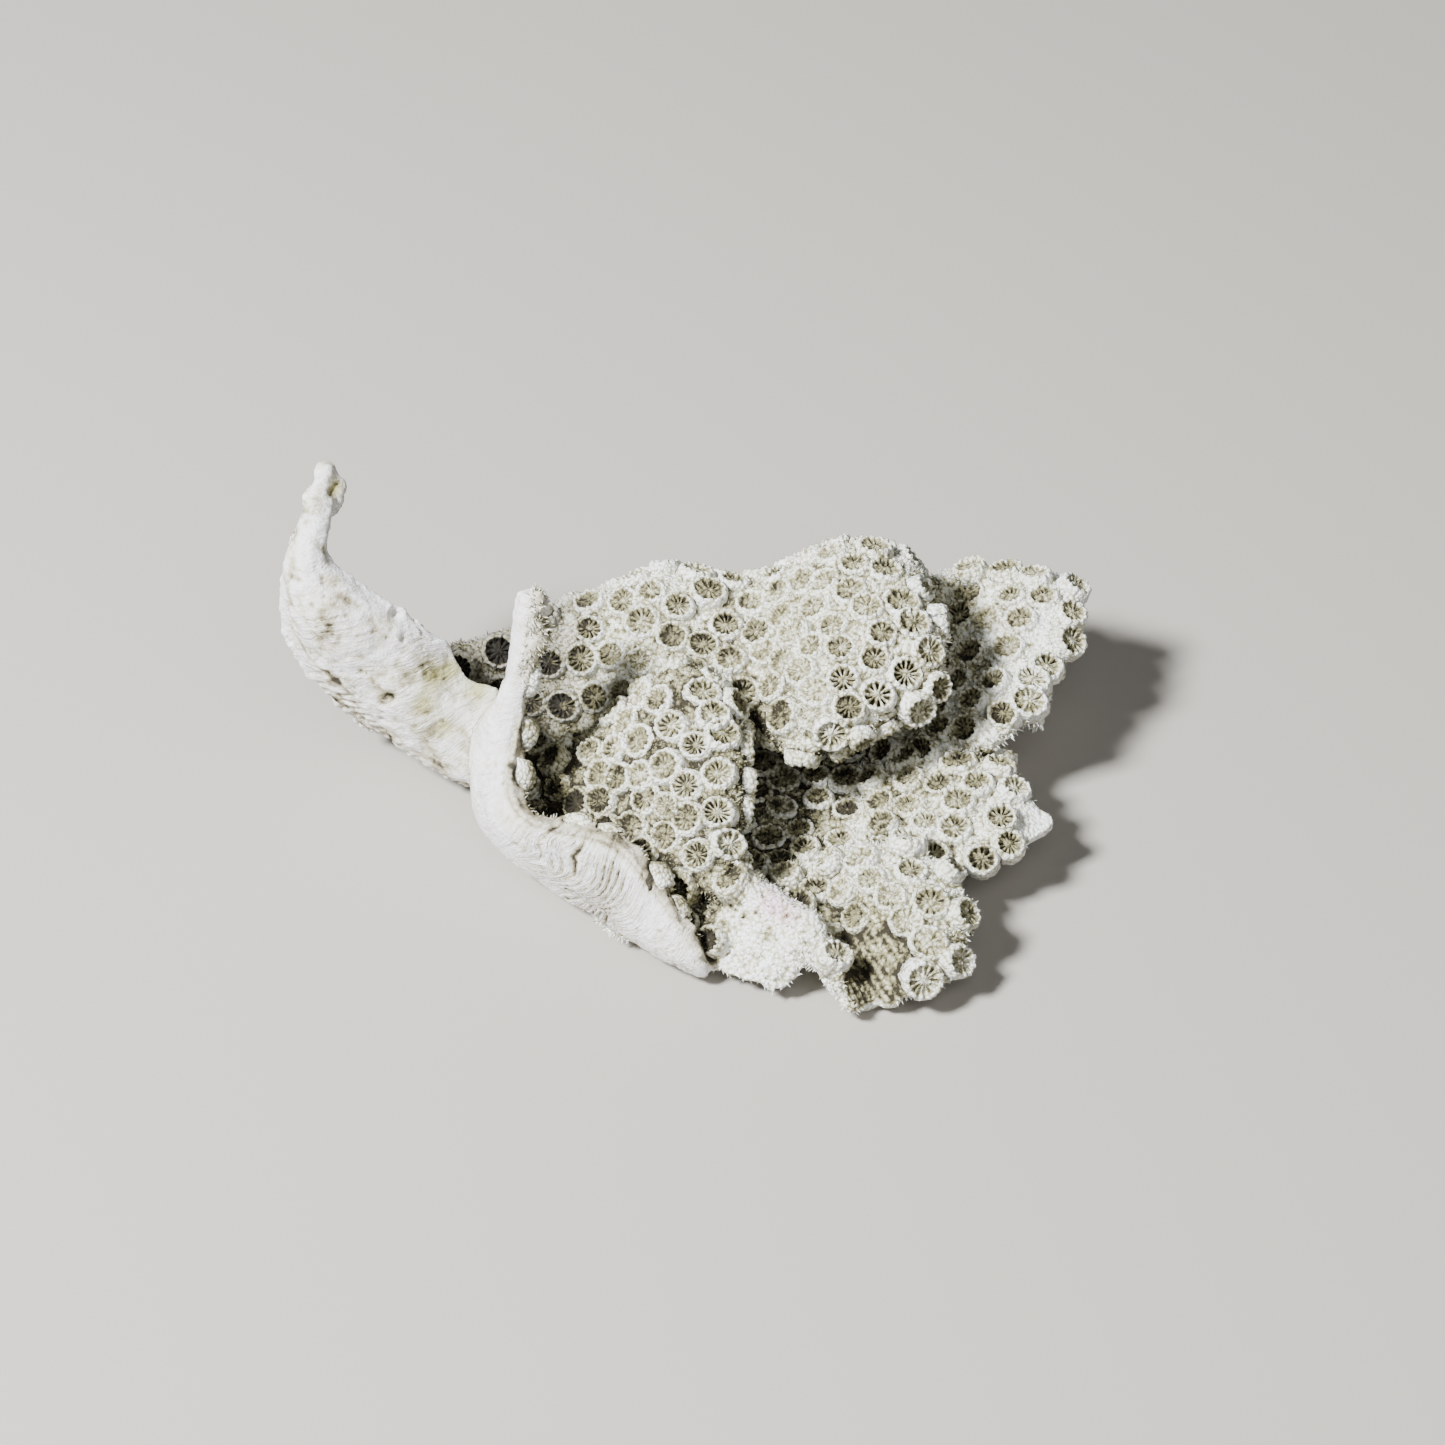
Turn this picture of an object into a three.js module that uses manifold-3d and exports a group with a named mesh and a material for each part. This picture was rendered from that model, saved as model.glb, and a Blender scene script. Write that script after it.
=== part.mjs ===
// A broken piece of cabbage coral, a plate coral: thin folded plates that fork from one base plate.
// The corallites, the cups that the polyps lived in, stand on the upper side of each plate only.
// Millimetres, +Z up. The origin is on the flat scar that the piece rests on, under the main fork.
// +X runs along the piece from the horn to the right-hand lobes, and +Y points to its back.
import * as THREE from "three";
import { mergeVertices } from "three/addons/utils/BufferGeometryUtils.js";
import Module from "manifold-3d";

const wasm = await Module();
wasm.setup();

const plateThickness = 3.0;
const rimThickness = 1.5;
const forkGap = 0.3;
const cupRadius = 1.75;
const cupHeight = 0.65;
const cupSpacing = 7.8;
const sparseSpacing = 11;
const cupSides = 5;
// The flank of a corallite is this much wider at its root, which is sunk into the plate.
const cupFlare = 1.15;
const cupRoot = 0.8;
const cupPit = 1.3;
const cupMargin = 0.08;
const cupDisorder = 0.4;
const cupVariation = 0.3;
// The numbers behind the disorder: how many each corallite takes, how far apart the plates' runs of
// them start, and the two arbitrary factors that make them look random.
const chancesPerCup = 4;
const seedStep = 1000;
const scatterRate = 12.9898;
const scatterScale = 43758.5453;
// The step in u and v over which a plate's slope is measured, and the cells over which its rim thins.
const rimProbe = 0.01;
const rimSteps = 2;
const scarHeight = 2.6;
const tableSize = 200;
const weldDistance = 1e-4;
// The bare underside of a plate is whiter than the upper side, where the corallites hold dust.
const smoothWhite = "#f1efea";
const cuppedWhite = "#e2dfd0";
const shadedWhite = "#cfcbb8";
// The outline of the flat scar, seen from above.
const scarPoints = [[-15, -4], [-9, -9], [-1, -8], [7, -9], [12, -2], [12, 8], [5, 15], [-6, 15], [-14, 9]];

// Each plate is a net of points on its middle surface, in rows. The rows of the base plate and of the
// lobes run from the back to the front, and each row from left to right.
const basePlate = [
  [[-29, 22, 6], [-14, 27, 5], [2, 28, 4], [15, 27, 6], [25, 24, 8]],
  [[-32, 11, 5], [-16, 13, 2.5], [0, 14, 1.8], [14, 13, 3.5], [25, 13, 6]],
  [[-29, -1, 3], [-14, 1, 1.5], [1, 2, 1.4], [13, 3, 3], [23, 3, 5.5]],
  [[-21, -10, 2.2], [-10, -10, 1.5], [2, -9, 1.8], [12, -8, 3.5], [21, -9, 5.5]],
  [[-14, -17, 2.2], [-6, -18, 2.5], [2, -17, 3.5], [10, -17, 4], [19, -18, 5]],
];
// The rows of the horn run from its tip down to the fork, and each row from the right to the left.
const horn = [
  [[-48.6, 26.8, 37], [-50.3, 27.3, 38], [-51.4, 27, 37]],
  [[-50, 23.9, 34], [-51.6, 22.8, 34.8], [-52.8, 23.5, 34]],
  [[-49.8, 19.3, 31], [-52.6, 17, 30.8], [-55.6, 20, 28.6]],
  [[-43.3, 16.2, 26.5], [-50, 12.8, 26.5], [-55.8, 18.5, 20.3]],
  [[-37, 14.7, 21.2], [-45, 12, 20], [-52.6, 17, 12.8]],
  [[-34, 13.3, 16.8], [-41, 10.5, 14], [-48, 18, 5.5]],
  [[-30, 11.4, 15.5], [-37.5, 9.7, 8.8], [-43.2, 17.5, 2.5]],
  [[-28.6, 8.6, 12.6], [-34, 8, 7], [-37, 12.5, 2]],
  [[-28, 6, 9], [-30.6, 6, 5.6], [-32.3, 9, 2]],
];
// The rows of the fold run along its turned-up rim, and each row from the rim down to the table.
const fold = [
  [[-24, 10.8, 32.2], [-24.8, 10.8, 32.8], [-25.6, 11.2, 32.6], [-26, 11.8, 32]],
  [[-23.6, 9, 27], [-25, 8.6, 26.6], [-26.4, 9.6, 25.8], [-27.2, 11, 24.6]],
  [[-25.4, 7, 22.7], [-26.3, 6.8, 22.3], [-27, 7.6, 21.4], [-28, 9.5, 19]],
  [[-26.3, 4, 17.4], [-28.8, 3.8, 16.4], [-31, 6, 13.8], [-32, 9, 8]],
  [[-26.8, -2, 13.2], [-29.3, -2, 11], [-31.2, 0.2, 7.8], [-31.2, 2.5, 2.5]],
  [[-24.3, -7, 12.3], [-26.3, -7, 9.5], [-27.4, -5.3, 5.5], [-27.2, -3.8, 2]],
  [[-14.6, -12, 13.8], [-16, -13, 10], [-17.8, -13.2, 5.5], [-19.3, -12, 2]],
  [[-9.6, -17.3, 10.8], [-10.4, -18.2, 8], [-11.3, -18.6, 4.5], [-11.8, -18, 2]],
  [[-5.4, -21.8, 6.5], [-5.7, -22.2, 4.5], [-6, -22.4, 3], [-6.2, -22.2, 1.9]],
  [[-3.4, -22.8, 3.2], [-3.6, -23, 2.6], [-3.8, -23, 2.2], [-4, -22.8, 1.8]],
];
const backFrond = [
  [[-40, 23.2, 11.6], [-24, 26.5, 13.5], [-12, 35, 7], [2, 35, 6], [13, 34, 7], [21, 32, 8], [24, 28, 9]],
  [[-39, 22.8, 10.4], [-23.5, 26, 14.3], [-11, 33, 14.5], [2, 33, 13.5], [13, 33, 18], [20.5, 31.5, 18],
   [22.5, 27, 16]],
  [[-37.5, 22, 8.8], [-22, 24, 13.8], [-10, 28, 19], [2, 27, 18.1], [13, 26.5, 24.3], [19.5, 25.5, 24.3],
   [20.8, 22.5, 21.8]],
  [[-35.5, 20.3, 6.8], [-21, 20, 10.5], [-10, 21, 16.4], [2, 18.5, 17.2], [12, 15, 23.2], [20, 14, 24],
   [24.4, 12.3, 21.3]],
  [[-33, 18, 5], [-20.5, 16, 7], [-10.5, 15, 11.5], [2, 10.5, 14.6], [8, 3.5, 16], [16.5, 5, 19],
   [23.8, 8.2, 18.3]],
  [[-30, 15, 4], [-20, 12, 4.2], [-11, 11, 6.5], [3, 11.5, 11], [9, 5.8, 12.5], [16.5, 7, 15.5],
   [21, 9.5, 15.5]],
];
const innerFrond = [
  [[-24, 12, 4], [-15, 14, 7], [-8, 15, 11.5], [-1.5, 13, 12.5], [0.6, 12, 9.5]],
  [[-25, 10, 4], [-15.5, 11, 9.8], [-7.8, 10.5, 18.3], [-1.8, 8.5, 17.3], [-0.8, 8.5, 12.5]],
  [[-25, 6, 3.5], [-16, 2.5, 8.8], [-8, 0, 13.8], [-1.7, -3, 15.2], [-1, -2.5, 11]],
  [[-20, -3, 3], [-12, -7, 6.5], [-6, -11.3, 8.8], [-2.2, -12, 10.6], [-1.4, -11, 7.5]],
  [[-16, -9, 2.6], [-10, -13, 4.2], [-5.2, -15, 6], [-2.4, -15.6, 7], [-1.4, -14.3, 5]],
];
const upperRightLobe = [
  [[14, 31, 7], [24, 36.3, 12], [33, 36.3, 14], [40.6, 32.8, 15.4], [43, 29.6, 14.2]],
  [[16, 23, 5], [26, 25.5, 9.8], [34, 28, 14.5], [40.6, 27.5, 15.9], [42.6, 25, 14]],
  [[17, 16, 4], [27, 18, 9], [33, 19.5, 13], [37.7, 18.5, 14.2], [39.7, 17, 12.5]],
  [[17, 10, 4], [24, 8, 7.2], [31, 7.6, 10.5], [35, 9.6, 11.8], [37, 11, 10.6]],
];
const middleRightLobe = [
  [[15, 10, 4], [23, 11, 5.5], [29, 11, 6], [33, 9, 6]],
  [[15, 3, 4.5], [24, 3, 7.2], [30.5, 3, 8.3], [34.3, 2.5, 8]],
  [[14, -4, 4.5], [22, -5, 6.6], [30, -4, 7.4], [38.3, -3.8, 7.4]],
  [[14, -8, 4.5], [21, -9.5, 5.4], [26.8, -11.2, 5.4], [31.5, -7.6, 6.4]],
];
const lowerRightLobe = [
  [[3, -8, 2.6], [9, -7, 3.6], [16, -7.5, 7.6], [21.5, -8.7, 8], [24.3, -11.5, 7]],
  [[5.5, -15, 3.2], [10.5, -15, 3], [16.5, -16, 7.4], [22.5, -16.5, 8], [26.4, -17.6, 6.6]],
  [[8.6, -25.4, 6.4], [12.8, -22.5, 2.2], [17.3, -23, 4.2], [22.6, -22.6, 5.8], [25.8, -21.2, 5.4]],
  [[12.8, -30, 1.9], [15.6, -28.4, 1.5], [18.6, -28.2, 2.2], [21.8, -26.4, 3.2], [25.2, -24, 4]],
];
// The front fold arches from the fold's foot over a ridge, its third column, down to the lower right lobe.
const frontFold = [
  [[-7, -15, 2.2], [-3, -12.5, 5], [-0.2, -11.5, 7], [3, -10, 4.5]],
  [[-5.5, -19.5, 2], [-2.2, -17.5, 5.4], [0.8, -15.6, 8.4], [4.2, -14, 6]],
  [[-3.5, -22.8, 1.9], [1, -21, 5], [6, -19.6, 8.2], [8.6, -18, 5.4]],
  [[0.5, -25, 2], [4.6, -23.6, 4.6], [8.4, -22, 7.8], [10.4, -20.6, 5]],
  [[4.9, -25.8, 2.2], [7.2, -25, 4.4], [9.4, -24, 6.6], [11, -22.8, 4.6]],
];

// A smooth curve through a list of points, at t from 0 to 1. Each end is extended in a straight line.
function curvePoint(points, t) {
  const spans = points.length - 1;
  const i = Math.min(Math.floor(t * spans), spans - 1);
  const f = t * spans - i;
  const at = (k) => {
    if (k < 0) return points[0].clone().multiplyScalar(2).sub(points[1]);
    if (k > spans) return points[spans].clone().multiplyScalar(2).sub(points[spans - 1]);
    return points[k];
  };
  const [a, b, c, d] = [at(i - 1), at(i), at(i + 1), at(i + 2)];
  const weights = [
    -0.5 * f + f * f - 0.5 * f ** 3,
    1 - 2.5 * f * f + 1.5 * f ** 3,
    0.5 * f + 2 * f * f - 1.5 * f ** 3,
    -0.5 * f * f + 0.5 * f ** 3,
  ];
  return new THREE.Vector3()
    .addScaledVector(a, weights[0])
    .addScaledVector(b, weights[1])
    .addScaledVector(c, weights[2])
    .addScaledVector(d, weights[3]);
}

// The point of a plate's middle surface at (u, v), u across the rows and v along each row.
function platePoint(net, u, v) {
  const column = net.map((row) => curvePoint(row.map((p) => new THREE.Vector3(...p)), v));
  return curvePoint(column, u);
}

// A plate's point moved outwards past its rim by grow, so that a grown plate is larger all round.
function grownPoint(net, u, v, grow) {
  const point = platePoint(net, u, v);
  if (!grow) return point;
  const inside = (x) => Math.min(1 - rimProbe, Math.max(rimProbe, x));
  const outwards = point.clone().sub(platePoint(net, inside(u), inside(v)));
  return outwards.length() > 0 ? point.addScaledVector(outwards.normalize(), grow * Math.SQRT2) : point;
}

// The direction that a plate's upper side, the one with the corallites, faces at (u, v).
function plateNormal(net, u, v) {
  const clamp = (x) => Math.min(1, Math.max(0, x));
  const du = platePoint(net, clamp(u + rimProbe), v).sub(platePoint(net, clamp(u - rimProbe), v));
  const dv = platePoint(net, u, clamp(v + rimProbe)).sub(platePoint(net, u, clamp(v - rimProbe)));
  return du.cross(dv).normalize();
}

// A plate as a closed mesh: an upper and a lower sheet, thinner at the rim, with a strip all round.
function plateGeometry({ net, steps }, grow = 0) {
  const [nu, nv] = steps;
  const vertices = [];
  const corner = (layer, i, j) => (layer * (nu + 1) + i) * (nv + 1) + j;
  for (const layer of [0.5, -0.5])
    for (let i = 0; i <= nu; i++)
      for (let j = 0; j <= nv; j++) {
        const toRim = Math.min(1, Math.min(i, nu - i, j, nv - j) / rimSteps);
        const thickness = rimThickness + (plateThickness - rimThickness) * toRim + 2 * grow;
        const normal = plateNormal(net, i / nu, j / nv);
        vertices.push(...grownPoint(net, i / nu, j / nv, grow).addScaledVector(normal, layer * thickness));
      }
  const faces = [];
  const quad = (a, b, c, d) => faces.push(a, b, c, a, c, d);
  for (let i = 0; i < nu; i++)
    for (let j = 0; j < nv; j++) {
      quad(corner(0, i, j), corner(0, i + 1, j), corner(0, i + 1, j + 1), corner(0, i, j + 1));
      quad(corner(1, i, j), corner(1, i, j + 1), corner(1, i + 1, j + 1), corner(1, i + 1, j));
    }
  for (let i = 0; i < nu; i++) {
    quad(corner(0, i, 0), corner(1, i, 0), corner(1, i + 1, 0), corner(0, i + 1, 0));
    quad(corner(0, i, nv), corner(0, i + 1, nv), corner(1, i + 1, nv), corner(1, i, nv));
  }
  for (let j = 0; j < nv; j++) {
    quad(corner(0, 0, j), corner(0, 0, j + 1), corner(1, 0, j + 1), corner(1, 0, j));
    quad(corner(0, nu, j), corner(1, nu, j), corner(1, nu, j + 1), corner(0, nu, j + 1));
  }
  return new THREE.BufferGeometry()
    .setAttribute("position", new THREE.BufferAttribute(new Float32Array(vertices), 3))
    .setIndex(faces);
}

// A corallite: a short five-sided cone, sunk into its plate, with a conical pit in its top.
function cupGeometry(centre, normal, radius, height) {
  const profile = [
    [0, -cupRoot],
    [radius * cupFlare, -cupRoot],
    [radius, height],
    [0, height - cupPit],
  ].map(([x, y]) => new THREE.Vector2(x, y));
  return new THREE.LatheGeometry(profile, cupSides)
    .applyQuaternion(new THREE.Quaternion().setFromUnitVectors(new THREE.Vector3(0, 1, 0), normal))
    .translate(...centre);
}

function toSolid(geometry) {
  geometry.deleteAttribute("normal");
  geometry.deleteAttribute("uv");
  const merged = mergeVertices(geometry, weldDistance);
  return new wasm.Manifold(
    new wasm.Mesh({
      numProp: 3,
      vertProperties: merged.attributes.position.array,
      triVerts: new Uint32Array(merged.index.array),
    }),
  );
}

function toMesh(name, solid, colour) {
  const { vertProperties, triVerts } = solid.getMesh();
  const geometry = new THREE.BufferGeometry()
    .setAttribute("position", new THREE.BufferAttribute(vertProperties, 3))
    .setIndex(new THREE.BufferAttribute(triVerts, 1));
  geometry.computeVertexNormals();
  const mesh = new THREE.Mesh(
    geometry,
    new THREE.MeshStandardMaterial({ color: colour, roughness: 0.9, metalness: 0 }),
  );
  mesh.name = name;
  return mesh;
}

// A repeatable number from 0 to 1 for each corallite, in place of a random one.
function scatter(seed) {
  const x = Math.sin(seed * scatterRate) * scatterScale;
  return x - Math.floor(x);
}

// The length of a line through the middle of a net, given as a function of t from 0 to 1.
function lineLength(pointAt, samples = 20) {
  let length = 0;
  for (let k = 0; k < samples; k++) length += pointAt(k / samples).distanceTo(pointAt((k + 1) / samples));
  return length;
}

// The corallites of a plate, in staggered rows with a little disorder, as a list of places and sizes.
function cupsOf({ net, spacing = cupSpacing }, seed) {
  const rows = Math.round(lineLength((t) => platePoint(net, t, 0.5)) / (spacing * Math.sqrt(0.75)));
  const columns = Math.round(lineLength((t) => platePoint(net, 0.5, t)) / spacing);
  const withinRim = (t) => cupMargin + (1 - 2 * cupMargin) * t;
  const cups = [];
  for (let i = 0; i < rows; i++)
    for (let j = 0; j < columns; j++) {
      const first = seed + (i * columns + j) * chancesPerCup;
      const [across, along, size, rise] = [0, 1, 2, 3].map((k) => scatter(first + k) - 0.5);
      const stagger = 0.25 + 0.5 * (i % 2);
      const u = withinRim((i + 0.5 + cupDisorder * across) / rows);
      const v = withinRim((j + stagger + cupDisorder * along) / columns);
      const normal = plateNormal(net, u, v);
      cups.push({
        centre: platePoint(net, u, v).addScaledVector(normal, plateThickness / 2),
        normal,
        radius: cupRadius * (1 + cupVariation * size),
        height: cupHeight * (1 + 2 * cupVariation * rise),
      });
    }
  return cups;
}

function cupSolid({ centre, normal, radius, height }, grow = 0) {
  return toSolid(cupGeometry(centre, normal, radius + grow, height));
}

function largestBody(solid) {
  return solid.decompose().reduce((best, body) => (body.volume() > best.volume() ? body : best));
}

// The plates in the order that they are parted. Each one is cut clear of the ones listed in cutBy.
const plates = {
  base_plate: { net: basePlate, steps: [6, 6], colour: shadedWhite, spacing: sparseSpacing, cutBy: [] },
  back_frond: { net: backFrond, steps: [9, 10], colour: cuppedWhite, cutBy: ["base_plate"] },
  inner_frond: { net: innerFrond, steps: [7, 7], colour: cuppedWhite, cutBy: ["base_plate", "back_frond"] },
  left_fold: {
    net: fold,
    steps: [14, 4],
    colour: smoothWhite,
    spacing: sparseSpacing,
    cutBy: ["base_plate", "inner_frond"],
  },
  horn_frond: {
    net: horn,
    steps: [11, 4],
    colour: smoothWhite,
    spacing: sparseSpacing,
    cutBy: ["base_plate", "back_frond", "inner_frond", "left_fold"],
  },
  upper_right_lobe: {
    net: upperRightLobe,
    steps: [6, 8],
    colour: cuppedWhite,
    cutBy: ["base_plate", "back_frond"],
  },
  middle_right_lobe: {
    net: middleRightLobe,
    steps: [6, 6],
    colour: cuppedWhite,
    cutBy: ["base_plate", "upper_right_lobe"],
  },
  lower_right_lobe: {
    net: lowerRightLobe,
    steps: [6, 8],
    colour: cuppedWhite,
    cutBy: ["base_plate", "inner_frond", "middle_right_lobe"],
  },
  front_fold: {
    net: frontFold,
    steps: [8, 6],
    colour: cuppedWhite,
    cutBy: ["base_plate", "inner_frond", "left_fold", "lower_right_lobe"],
  },
};

// The broken stub under the base plate, where the piece came away from its colony.
function scarSolid() {
  const closed = [...scarPoints, scarPoints[0]].map(([x, y]) => new THREE.Vector2(x, y));
  const outline = new THREE.SplineCurve(closed);
  const shape = new THREE.Shape(outline.getPoints(2 * scarPoints.length).slice(0, -1));
  return toSolid(new THREE.ExtrudeGeometry(shape, { depth: scarHeight, bevelEnabled: false }));
}

const names = Object.keys(plates);
const grown = Object.fromEntries(names.map((name) => [name, toSolid(plateGeometry(plates[name], forkGap))]));
const belowTable = toSolid(
  new THREE.BoxGeometry(tableSize, tableSize, tableSize).translate(0, 0, -tableSize / 2),
);
const placed = [];

// A corallite stays if it stands on its own plate, clear of the other plates and of the other corallites.
function standsClear(cup, name, plate) {
  const solid = cupSolid(cup, forkGap);
  const tooNear = (other) => other.centre.distanceTo(cup.centre) < other.radius + cup.radius + forkGap;
  const crowded = placed.some(tooNear);
  const blocked = names.some((other) => other !== name && solid.intersect(grown[other]).volume() > 0);
  return !crowded && !blocked && solid.intersect(plate).volume() > 0;
}

const coral = new THREE.Group();
names.forEach((name, k) => {
  const { colour, cutBy } = plates[name];
  let plate = toSolid(plateGeometry(plates[name]));
  if (name === "base_plate") plate = plate.add(scarSolid());
  for (const other of cutBy) plate = largestBody(plate.subtract(grown[other]));
  const cups = cupsOf(plates[name], seedStep * k).filter((cup) => standsClear(cup, name, plate));
  for (const cup of cups) plate = plate.add(cupSolid(cup));
  placed.push(...cups);
  coral.add(toMesh(name, largestBody(plate.subtract(belowTable)), colour));
});

export default coral;
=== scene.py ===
# A broken, bleached piece of plate coral, dressed around its measured frame.

# %% [markdown]
# The real object is one grown skeleton of aragonite, about 100 mm long. Thin plates fork from a
# common base, and only their upper sides carry corallites, the cups that the polyps sat in.
# The frame holds one plain solid for each plate. This lesson grows the true surface around the
# same plates: one skin over all of them, then the cups, then the fine spines between the cups.
# Lengths are in millimetres while the shapes are made, and turn to metres as each piece is made.

# %% Load the frame
import math
import bpy
import numpy as np
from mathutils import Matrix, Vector
from mathutils.bvhtree import BVHTree
from mathutils.kdtree import KDTree


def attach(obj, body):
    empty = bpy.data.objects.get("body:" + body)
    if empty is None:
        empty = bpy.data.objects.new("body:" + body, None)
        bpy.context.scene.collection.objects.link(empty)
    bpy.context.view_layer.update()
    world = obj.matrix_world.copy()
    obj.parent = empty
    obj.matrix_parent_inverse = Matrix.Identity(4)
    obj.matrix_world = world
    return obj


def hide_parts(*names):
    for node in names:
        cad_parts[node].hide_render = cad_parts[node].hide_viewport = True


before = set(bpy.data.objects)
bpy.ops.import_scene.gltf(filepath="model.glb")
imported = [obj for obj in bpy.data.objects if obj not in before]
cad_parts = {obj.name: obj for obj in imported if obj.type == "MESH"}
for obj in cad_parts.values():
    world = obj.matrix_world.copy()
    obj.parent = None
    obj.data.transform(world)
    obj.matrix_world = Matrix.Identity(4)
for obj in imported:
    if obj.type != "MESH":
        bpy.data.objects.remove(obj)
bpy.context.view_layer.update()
MM = 0.001
print("frame nodes:", sorted(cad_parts))

# %% [markdown]
# The camera comes first, because some corallites are placed by looking through it. It stands half a
# metre away and 42 degrees above the table. The lens is the one that gives the photograph's frame:
# 8.2 pixels to a millimetre at the middle of the piece, in a square picture 1445 pixels wide.

# %% Camera
PHOTO_SIDE = 1445
PIXELS_PER_MM = 8.2
CAMERA_DISTANCE = 500.0
CAMERA_ELEVATION = math.radians(42)
SENSOR_WIDTH = 36.0
TARGET = np.array([-2.16, 6.64, 15.16])
FORWARD = np.array([0, math.cos(CAMERA_ELEVATION), -math.sin(CAMERA_ELEVATION)])
camera_place = TARGET - CAMERA_DISTANCE * FORWARD

camera = bpy.data.objects.new("camera", bpy.data.cameras.new("camera"))
camera.data.sensor_width = SENSOR_WIDTH
camera.data.lens = SENSOR_WIDTH * PIXELS_PER_MM * CAMERA_DISTANCE / PHOTO_SIDE
camera.location = camera_place * MM
camera.rotation_euler = (math.pi / 2 - CAMERA_ELEVATION, 0, 0)
bpy.context.scene.collection.objects.link(camera)
bpy.context.scene.camera = camera
print("lens", round(camera.data.lens, 1), "mm")

# %% [markdown]
# Each plate is a net of given points on its middle surface, the same as in the frame. A smooth
# surface runs through the net: a Catmull-Rom curve along each row, then one across the rows. A mesh
# modelled by hand would do as well, but a net keeps the plate editable by moving a few points.

# %% Nets of the plates
BASE_PLATE = [
    [[-29, 22, 6], [-14, 27, 5], [2, 28, 4], [15, 27, 6], [25, 24, 8]],
    [[-32, 11, 5], [-16, 13, 2.5], [0, 14, 1.8], [14, 13, 3.5], [25, 13, 6]],
    [[-29, -1, 3], [-14, 1, 1.5], [1, 2, 1.4], [13, 3, 3], [23, 3, 5.5]],
    [[-21, -10, 2.2], [-10, -10, 1.5], [2, -9, 1.8], [12, -8, 3.5], [21, -9, 5.5]],
    [[-14, -17, 2.2], [-6, -18, 2.5], [2, -17, 3.5], [10, -17, 4], [19, -18, 5]],
]
HORN = [
    [[-48.6, 26.8, 37], [-50.3, 27.3, 38], [-51.4, 27, 37]],
    [[-50, 23.9, 34], [-51.6, 22.8, 34.8], [-52.8, 23.5, 34]],
    [[-49.8, 19.3, 31], [-52.6, 17, 30.8], [-55.6, 20, 28.6]],
    [[-43.3, 16.2, 26.5], [-50, 12.8, 26.5], [-55.8, 18.5, 20.3]],
    [[-37, 14.7, 21.2], [-45, 12, 20], [-52.6, 17, 12.8]],
    [[-34, 13.3, 16.8], [-41, 10.5, 14], [-48, 18, 5.5]],
    [[-30, 11.4, 15.5], [-37.5, 9.7, 8.8], [-43.2, 17.5, 2.5]],
    [[-28.6, 8.6, 12.6], [-34, 8, 7], [-37, 12.5, 2]],
    [[-28, 6, 9], [-30.6, 6, 5.6], [-32.3, 9, 2]],
]
FOLD = [
    [[-24, 10.8, 32.2], [-24.8, 10.8, 32.8], [-25.6, 11.2, 32.6], [-26, 11.8, 32]],
    [[-23.6, 9, 27], [-25, 8.6, 26.6], [-26.4, 9.6, 25.8], [-27.2, 11, 24.6]],
    [[-25.4, 7, 22.7], [-26.3, 6.8, 22.3], [-27, 7.6, 21.4], [-28, 9.5, 19]],
    [[-26.3, 4, 17.4], [-28.8, 3.8, 16.4], [-31, 6, 13.8], [-32, 9, 8]],
    [[-26.8, -2, 13.2], [-29.3, -2, 11], [-31.2, 0.2, 7.8], [-31.2, 2.5, 2.5]],
    [[-24.3, -7, 12.3], [-26.3, -7, 9.5], [-27.4, -5.3, 5.5], [-27.2, -3.8, 2]],
    [[-14.6, -12, 13.8], [-16, -13, 10], [-17.8, -13.2, 5.5], [-19.3, -12, 2]],
    [[-9.6, -17.3, 10.8], [-10.4, -18.2, 8], [-11.3, -18.6, 4.5], [-11.8, -18, 2]],
    [[-5.4, -21.8, 6.5], [-5.7, -22.2, 4.5], [-6, -22.4, 3], [-6.2, -22.2, 1.9]],
    [[-3.4, -22.8, 3.2], [-3.6, -23, 2.6], [-3.8, -23, 2.2], [-4, -22.8, 1.8]],
]
BACK_FROND = [
    [[-40, 23.2, 11.6], [-24, 26.5, 13.5], [-12, 35, 7], [2, 35, 6], [13, 34, 7], [21, 32, 8], [24, 28, 9]],
    [[-39, 22.8, 10.4], [-23.5, 26, 14.3], [-11, 33, 14.5], [2, 33, 13.5], [13, 33, 18], [20.5, 31.5, 18],
     [22.5, 27, 16]],
    [[-37.5, 22, 8.8], [-22, 24, 13.8], [-10, 28, 19], [2, 27, 18.1], [13, 26.5, 24.3], [19.5, 25.5, 24.3],
     [20.8, 22.5, 21.8]],
    [[-35.5, 20.3, 6.8], [-21, 20, 10.5], [-10, 21, 16.4], [2, 18.5, 17.2], [12, 15, 23.2], [20, 14, 24],
     [24.4, 12.3, 21.3]],
    [[-33, 18, 5], [-20.5, 16, 7], [-10.5, 15, 11.5], [2, 10.5, 14.6], [8, 3.5, 16], [16.5, 5, 19],
     [23.8, 8.2, 18.3]],
    [[-30, 15, 4], [-20, 12, 4.2], [-11, 11, 6.5], [3, 11.5, 11], [9, 5.8, 12.5], [16.5, 7, 15.5],
     [21, 9.5, 15.5]],
]
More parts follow.
